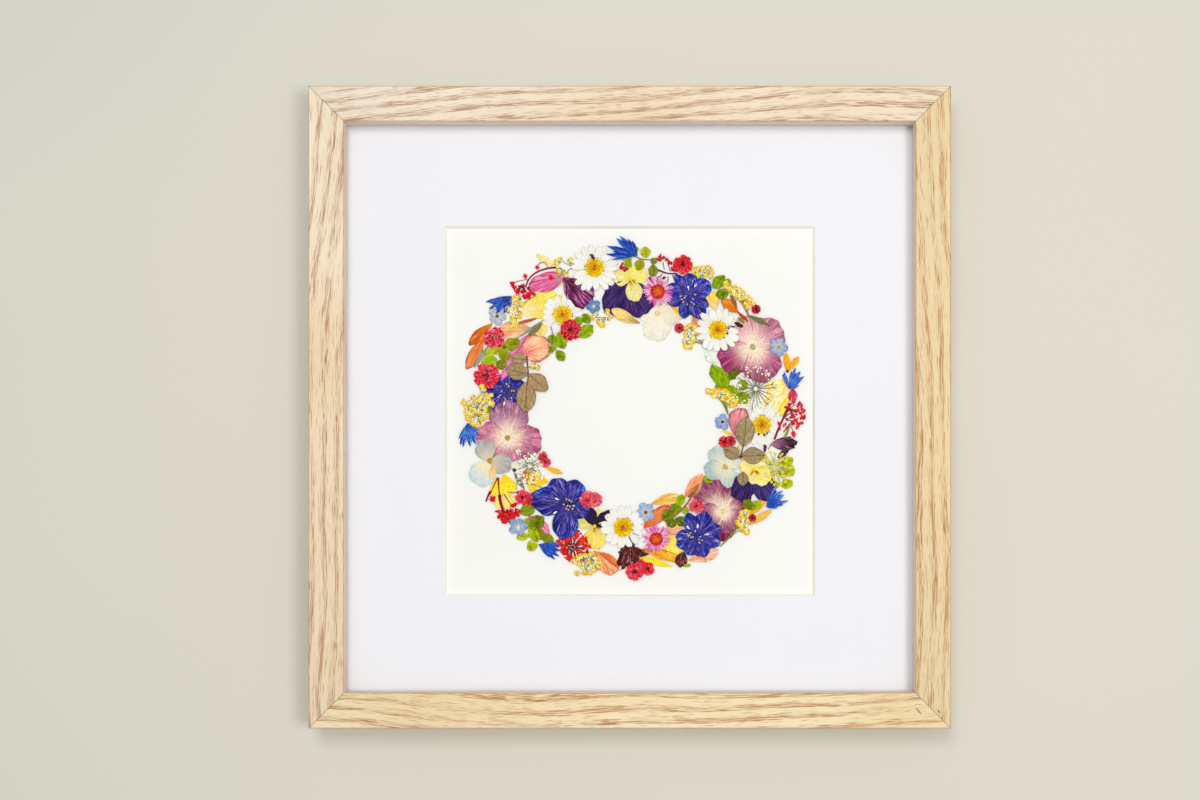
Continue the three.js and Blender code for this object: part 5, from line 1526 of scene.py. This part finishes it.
# each petal is (x, y, turn, length, width, layer, form, tint, heart)
loosePetals = {
    "petal_orange_upper": (-72.5, 46.7, -138, 17, 6.4, 0.5, "ray", "cc6818", "d88428"),
    "petal_orange_lower": (-76.7, 39.3, -120, 19.5, 7.1, 0.6, "ray", "e08c50", "e0740c"),
    "petal_peach_left": (-51.8, 44, -175, 18, 9.6, 0.7, "broad", "f3b58e", "c99a7a"),
    "petal_orange_streak": (-63, 45.4, 15, 14.5, 1.8, 1.6, "ray", "c8521c", "f6962a"),
    "petal_magenta_left": (-53.4, 40.4, -124, 27.4, 7.9, 0.8, "strap", "da82b4", "cc6a9e"),
    "petal_cream_top": (-38.3, 76, 150, 13, 4.5, 0.4, "ray", "fae8b4", "f9d98c"),
    "petal_magenta_top": (-33.5, 71.6, -164, 21.5, 10.2, 1.3, "strap", "cc6098", "dc94b4"),
    "petal_yellow_narrow": (-42.2, 64.6, 33, 12.2, 3.2, 0.3, "strap", "f9dd82", "fdeaa8"),
    "petal_yellow_inner": (-43.4, 48, -125, 10.6, 6.1, 0.9, "broad", "fbd782", "ffe39a"),
    "petal_tan_shell": (5.7, 46.5, 160, 17, 6.7, 2.6, "shell", "f3cf82", "9a7034"),
    "petal_yellow_under": (20.7, 57, -43, 11, 2.2, 1.0, "strap", "ffc21c", "f6b018"),
    "petal_peach_top": (33.3, 51, -74, 13, 5.6, 2.5, "ray", "f2a06c", "b07c70"),
    "petal_pale_crinkled": (45.7, 53.7, 111, 11.2, 6.7, 2.2, "crinkled", "fad05c", "f4d8bc"),
    "petal_orange_top_1": (57.5, 52, 144, 11.6, 6.1, 3.5, "ray", "e08a20", "cc680c"),
    "petal_orange_top_2": (56.6, 53.7, 114, 8.6, 2.6, 3.6, "ray", "8c6a20", "b8560f"),
    "petal_orange_top_3": (56, 53.4, -45, 9, 1.8, 3.7, "ray", "c23a10", "d95a18"),
    "petal_pale_blue_rim": (48.3, 31.8, -155, 9.4, 10.2, 0.6, "broad", "d8e2de", "f7efdc"),
    "petal_cream_right_1": (82.5, 16, -152, 12.2, 8.9, 0.5, "broad", "fdf0b0", "feee9c"),
    "petal_cream_right_2": (82.6, 17.5, -116, 21, 12.5, 0.6, "strap", "fae09c", "fbd98a"),
    "petal_yellow_right": (83, 7.5, -108, 10.5, 4.2, 0.7, "strap", "ffdf3a", "ffd21e"),
    "petal_white_right": (80.6, 8, -164, 15.7, 9.2, 0.4, "broad", "fbf6e4", "fdf3cc"),
    "petal_crimson_right": (86, 12.4, -91, 7.5, 5.1, 2.6, "broad", "cf4266", "b02a4c"),
    "petal_amber_right_1": (83, 21, 95, 10, 3.7, 2.7, "ray", "ffb905", "f09a04"),
    "petal_amber_right_2": (83.3, 21, 56, 9.7, 3.7, 2.8, "ray", "fdb820", "f09a04"),
    "petal_amber_right_3": (82.2, 19.4, -94, 3.8, 1.3, 2.0, "ray", "f69a10", "f08a08"),
    "petal_plum_right_1": (74, -17.5, 4, 14.6, 7.0, 1.6, "crinkled", "5c1c48", "c89abc"),
    "petal_plum_right_2": (78, -24.5, 38, 7.5, 3.2, 1.7, "strap", "2c0c20", "5a1c44"),
    "petal_plum_right_3": (71.7, -14.8, -95, 7, 1.9, 0.8, "ray", "6a1650", "7c2a60"),
    "petal_yellow_bit_1": (54.5, -12.3, 160, 6.3, 1.8, 1.5, "ray", "ffd633", "f8c018"),
    "petal_yellow_bit_2": (57.3, -17.5, -89, 6.2, 1.8, 1.2, "strap", "f3d24a", "e8b838"),
    "petal_yellow_bit_3": (59, -28, -49, 5, 3.2, 1.2, "broad", "f9e27a", "ffe68a"),
    "petal_peach_streak": (-72.7, -27.6, -87, 8.5, 3.7, 2.95, "ray", "f8c596", "f6a860"),
    "petal_yellow_left_1": (-66.5, -33.3, -77, 11.3, 10.6, 1.5, "broad", "ffd62e", "ffcf1c"),
    "petal_yellow_left_2": (-69.5, -34.7, -107, 10.4, 4.9, 1.4, "broad", "ffda40", "ffd022"),
    "petal_yellow_left_3": (-70.8, -41, -80, 10.5, 5.4, 1.3, "broad", "fbe38c", "ffdf6c"),
    "petal_yellow_left_4": (-65.5, -43, -70, 8.5, 7.7, 1.2, "broad", "fbe394", "ffe070"),
    "petal_yellow_left_5": (-43, -37.2, 168, 12.4, 8, 1.5, "broad", "ffd01c", "ffc814"),
    "petal_orange_left": (-57, -31.8, -39, 8.2, 5.1, 1.6, "crinkled", "f98f1a", "e8641c"),
    "petal_yellow_left_6": (-54.3, -38.6, -37, 9.3, 4.7, 1.4, "broad", "fccb24", "ffda50"),
    "petal_amber_left": (-45.2, -29.3, -19, 10.3, 3.1, 1.2, "ray", "ffae16", "ffc23c"),
    "petal_pink_left": (-53.7, -54.8, -43, 15.3, 7.7, 1.5, "broad", "dd86ac", "cf6a98"),
    "petal_peach_bottom_1": (-18.2, -74, -44, 16, 10.6, 1.4, "broad", "f3b08a", "ec8c50"),
    "petal_orange_bottom": (-14.6, -74.3, -39, 11.7, 3.8, 1.6, "ray", "ea7c38", "d85a20"),
    "petal_maroon_bottom_1": (1.4, -67.3, -113, 17, 7.4, 1.6, "crinkled", "7a3426", "4c1c14"),
    "petal_maroon_bottom_2": (10.2, -75.3, 174, 16.4, 5.9, 1.5, "crinkled", "74301e", "4a1a12"),
    "petal_maroon_bottom_3": (2.2, -69.2, -108, 14.2, 5.1, 1.4, "crinkled", "80402a", "501e14"),
    "petal_tan_bottom": (10.7, -49, 19, 17.4, 6.7, 2.4, "shell", "f0c468", "e8b048"),
    "petal_orange_bottom_right": (6.5, -62, 41, 19.2, 7.7, 2.2, "ray", "e88a54", "e2621c"),
    "petal_peach_right_1": (28.7, -45.6, 54, 15.7, 6.4, 2.6, "ray", "f4b088", "e88c4c"),
    "petal_peach_right_2": (31, -44.3, 54, 13, 3.8, 2.7, "ray", "f4a070", "e88850"),
    "petal_brown_right": (30.7, -45.4, 43, 10.5, 4, 2.8, "strap", "b48866", "9a6848"),
    "petal_peach_bottom_2": (17.2, -63.8, 16, 11.3, 6.4, 2.8, "broad", "ecb48e", "d88a94"),
    "petal_yellow_bottom_1": (19.8, -64.7, -63, 13, 9, 2.0, "broad", "ffdc68", "ffd040"),
    "petal_amber_bottom_1": (6.3, -72.4, -21, 21.3, 4, 1.6, "strap", "f3a81c", "c07818"),
    "petal_amber_bottom_2": (14.3, -72.7, -20, 12.6, 3.5, 1.8, "strap", "fbbc38", "f0902c"),
    "petal_yellow_bottom_2": (23, -82, 166, 19, 4.2, 1.2, "ray", "ffd62e", "ffcf18"),
    "petal_peach_bottom_3": (31, -78.7, 18, 16.7, 7, 2.2, "broad", "f4bca4", "f09850"),
    "petal_amber_corner": (62.6, -54.2, 38, 11.8, 4.4, 2.5, "strap", "ffb516", "ffa808"),
    "petal_tan_corner": (62.6, -60, 32, 14.4, 4.1, 2.4, "ray", "f2c05c", "e8a838"),
}
largePetals = {    # these four stand for CAD nodes
    "petal_yellow_top": (-57.4, 52.0, 20, 24.5, 14, 0, "strap", "fcd44a", "fadcc4", "yellow_petal"),
    "petal_coral": (-57.2, 30.2, 22, 16, 15, 4, "strap", "f4bc98", "dc7c84", "pink_petal"),
    "petal_maroon_top": (-35.4, 70.4, -42, 21.5, 13.5, 2, "crinkled", "8c3a78", "6c2458", "mauve_petal"),
    "petal_salmon": (55.2, -12.6, 74, 15, 11.5, 4, "broad", "dc929a", "cc6c7c", "pink_petal"),
}
seeds = {    # layer, tint and buds (x, y, radius)
    "seed_left": (3.6, "4a2c18", [(-61, -31, 1.0)]),
    "seed_dark_wedge": (4.2, "4a1c18", [(56, 46.4, 1.1), (57.3, 45.7, 1.2), (58.8, 45, 1.0)]),
    "seed_amber": (3.4, "5c2c14", [(83, 21.3, 0.75), (80.8, 19, 0.4), (81.7, 19.8, 0.4)]),
    "seed_daisy_right": (6.3, "4c2818", [(51.4, 41, 0.6), (52, 43.6, 0.5)]),
    "seed_daisy_low": (3.0, "4c2818", [(68, -12, 0.6), (71, -12.4, 0.7), (72.4, -11.6, 0.5)]),
}
starUmbel = {"middle": (76.5, -30.0), "reach": 9.4, "count": 58, "layer": 4.3, "star": "f4dc44",
             "stalk": "94a03c"}
seedPod = ((28.4, -74.0), -107, 8.4, 6.4, 4.5, "7a2c18", "4c0c1c")    # foot, then as a leaf


def makeLoosePetals():
    slots = {"petal_magenta": "mauve_petal", "petal_plum": "mauve_petal", "petal_maroon": "mauve_petal",
             "petal_pink": "pink_petal", "petal_crimson": "red_petal", "petal_pale": "pale_petal",
             "petal_cream": "pale_petal", "petal_white": "pale_petal"}
    for name, (x, y, turn, length, width, layer, form, tint, heart) in loosePetals.items():
        mesh = newSpecimen()
        addPetal(mesh, (x, y), turn, length, width, layerLift(layer), form, tint, heart)
        kind = "plum_petal" if "plum" in name or "maroon" in name else "loose_petal"
        kind = "edged_petal" if "orange" in name else kind
        slot = next((slots[start] for start in slots if name.startswith(start)), "yellow_petal")
        finishSpecimen(mesh, name, [kind])
    for name, (x, y, turn, length, width, layer, form, tint, heart, slot) in largePetals.items():
        mesh = newSpecimen()
        addPetal(mesh, (x, y), turn, length, width, layerLift(layer), form, tint, heart)
        kind = "edged_petal" if slot == "pink_petal" else "loose_petal"
        kind = "plum_petal" if "maroon" in name else kind
        finishSpecimen(mesh, name + "_pressed", [kind], name)


def makeSmallThings():
    for name, (layer, tint, row) in seeds.items():
        mesh = newSpecimen()
        for x, y, radius in row:
            addBud(mesh, (x, y), radius, layerLift(layer), tint, 0, 0.35, 0.5, 2)
        finishSpecimen(mesh, name, ["grainy"])
    mesh = newSpecimen()
    at, turn, length, width, layer, tint, heart = seedPod
    addPetal(mesh, at, turn, length, width, layerLift(layer), "leaf", tint, heart)
    finishSpecimen(mesh, "seed_pod", ["plum_petal"])
    mesh = newSpecimen()
    lift = layerLift(starUmbel["layer"])
    middle = Vector(starUmbel["middle"])
    for i in range(starUmbel["count"]):
        angle = i * 2.4 + random.uniform(-0.3, 0.3)
        reach = starUmbel["reach"] * math.sqrt((i + 0.5) / starUmbel["count"])
        spot = middle + Vector((math.cos(angle), math.sin(angle))) * reach
        inner = middle + Vector((math.cos(angle), math.sin(angle))) * reach * 0.35
        addStem(mesh, [inner, spot], 0.28, lift - 0.04, starUmbel["stalk"])
        for k in range(5):
            turn = angle + k * math.tau / 5
            star = (spot.x + 0.5 * math.cos(turn), spot.y + 0.5 * math.sin(turn))
            addBud(mesh, star, 0.36, lift, starUmbel["star"], 0, 0.4)
    finishSpecimen(mesh, "star_umbel_yellow", ["grainy"])


makeLoosePetals()
makeSmallThings()
print("loose petals, seeds and the star umbel are made")
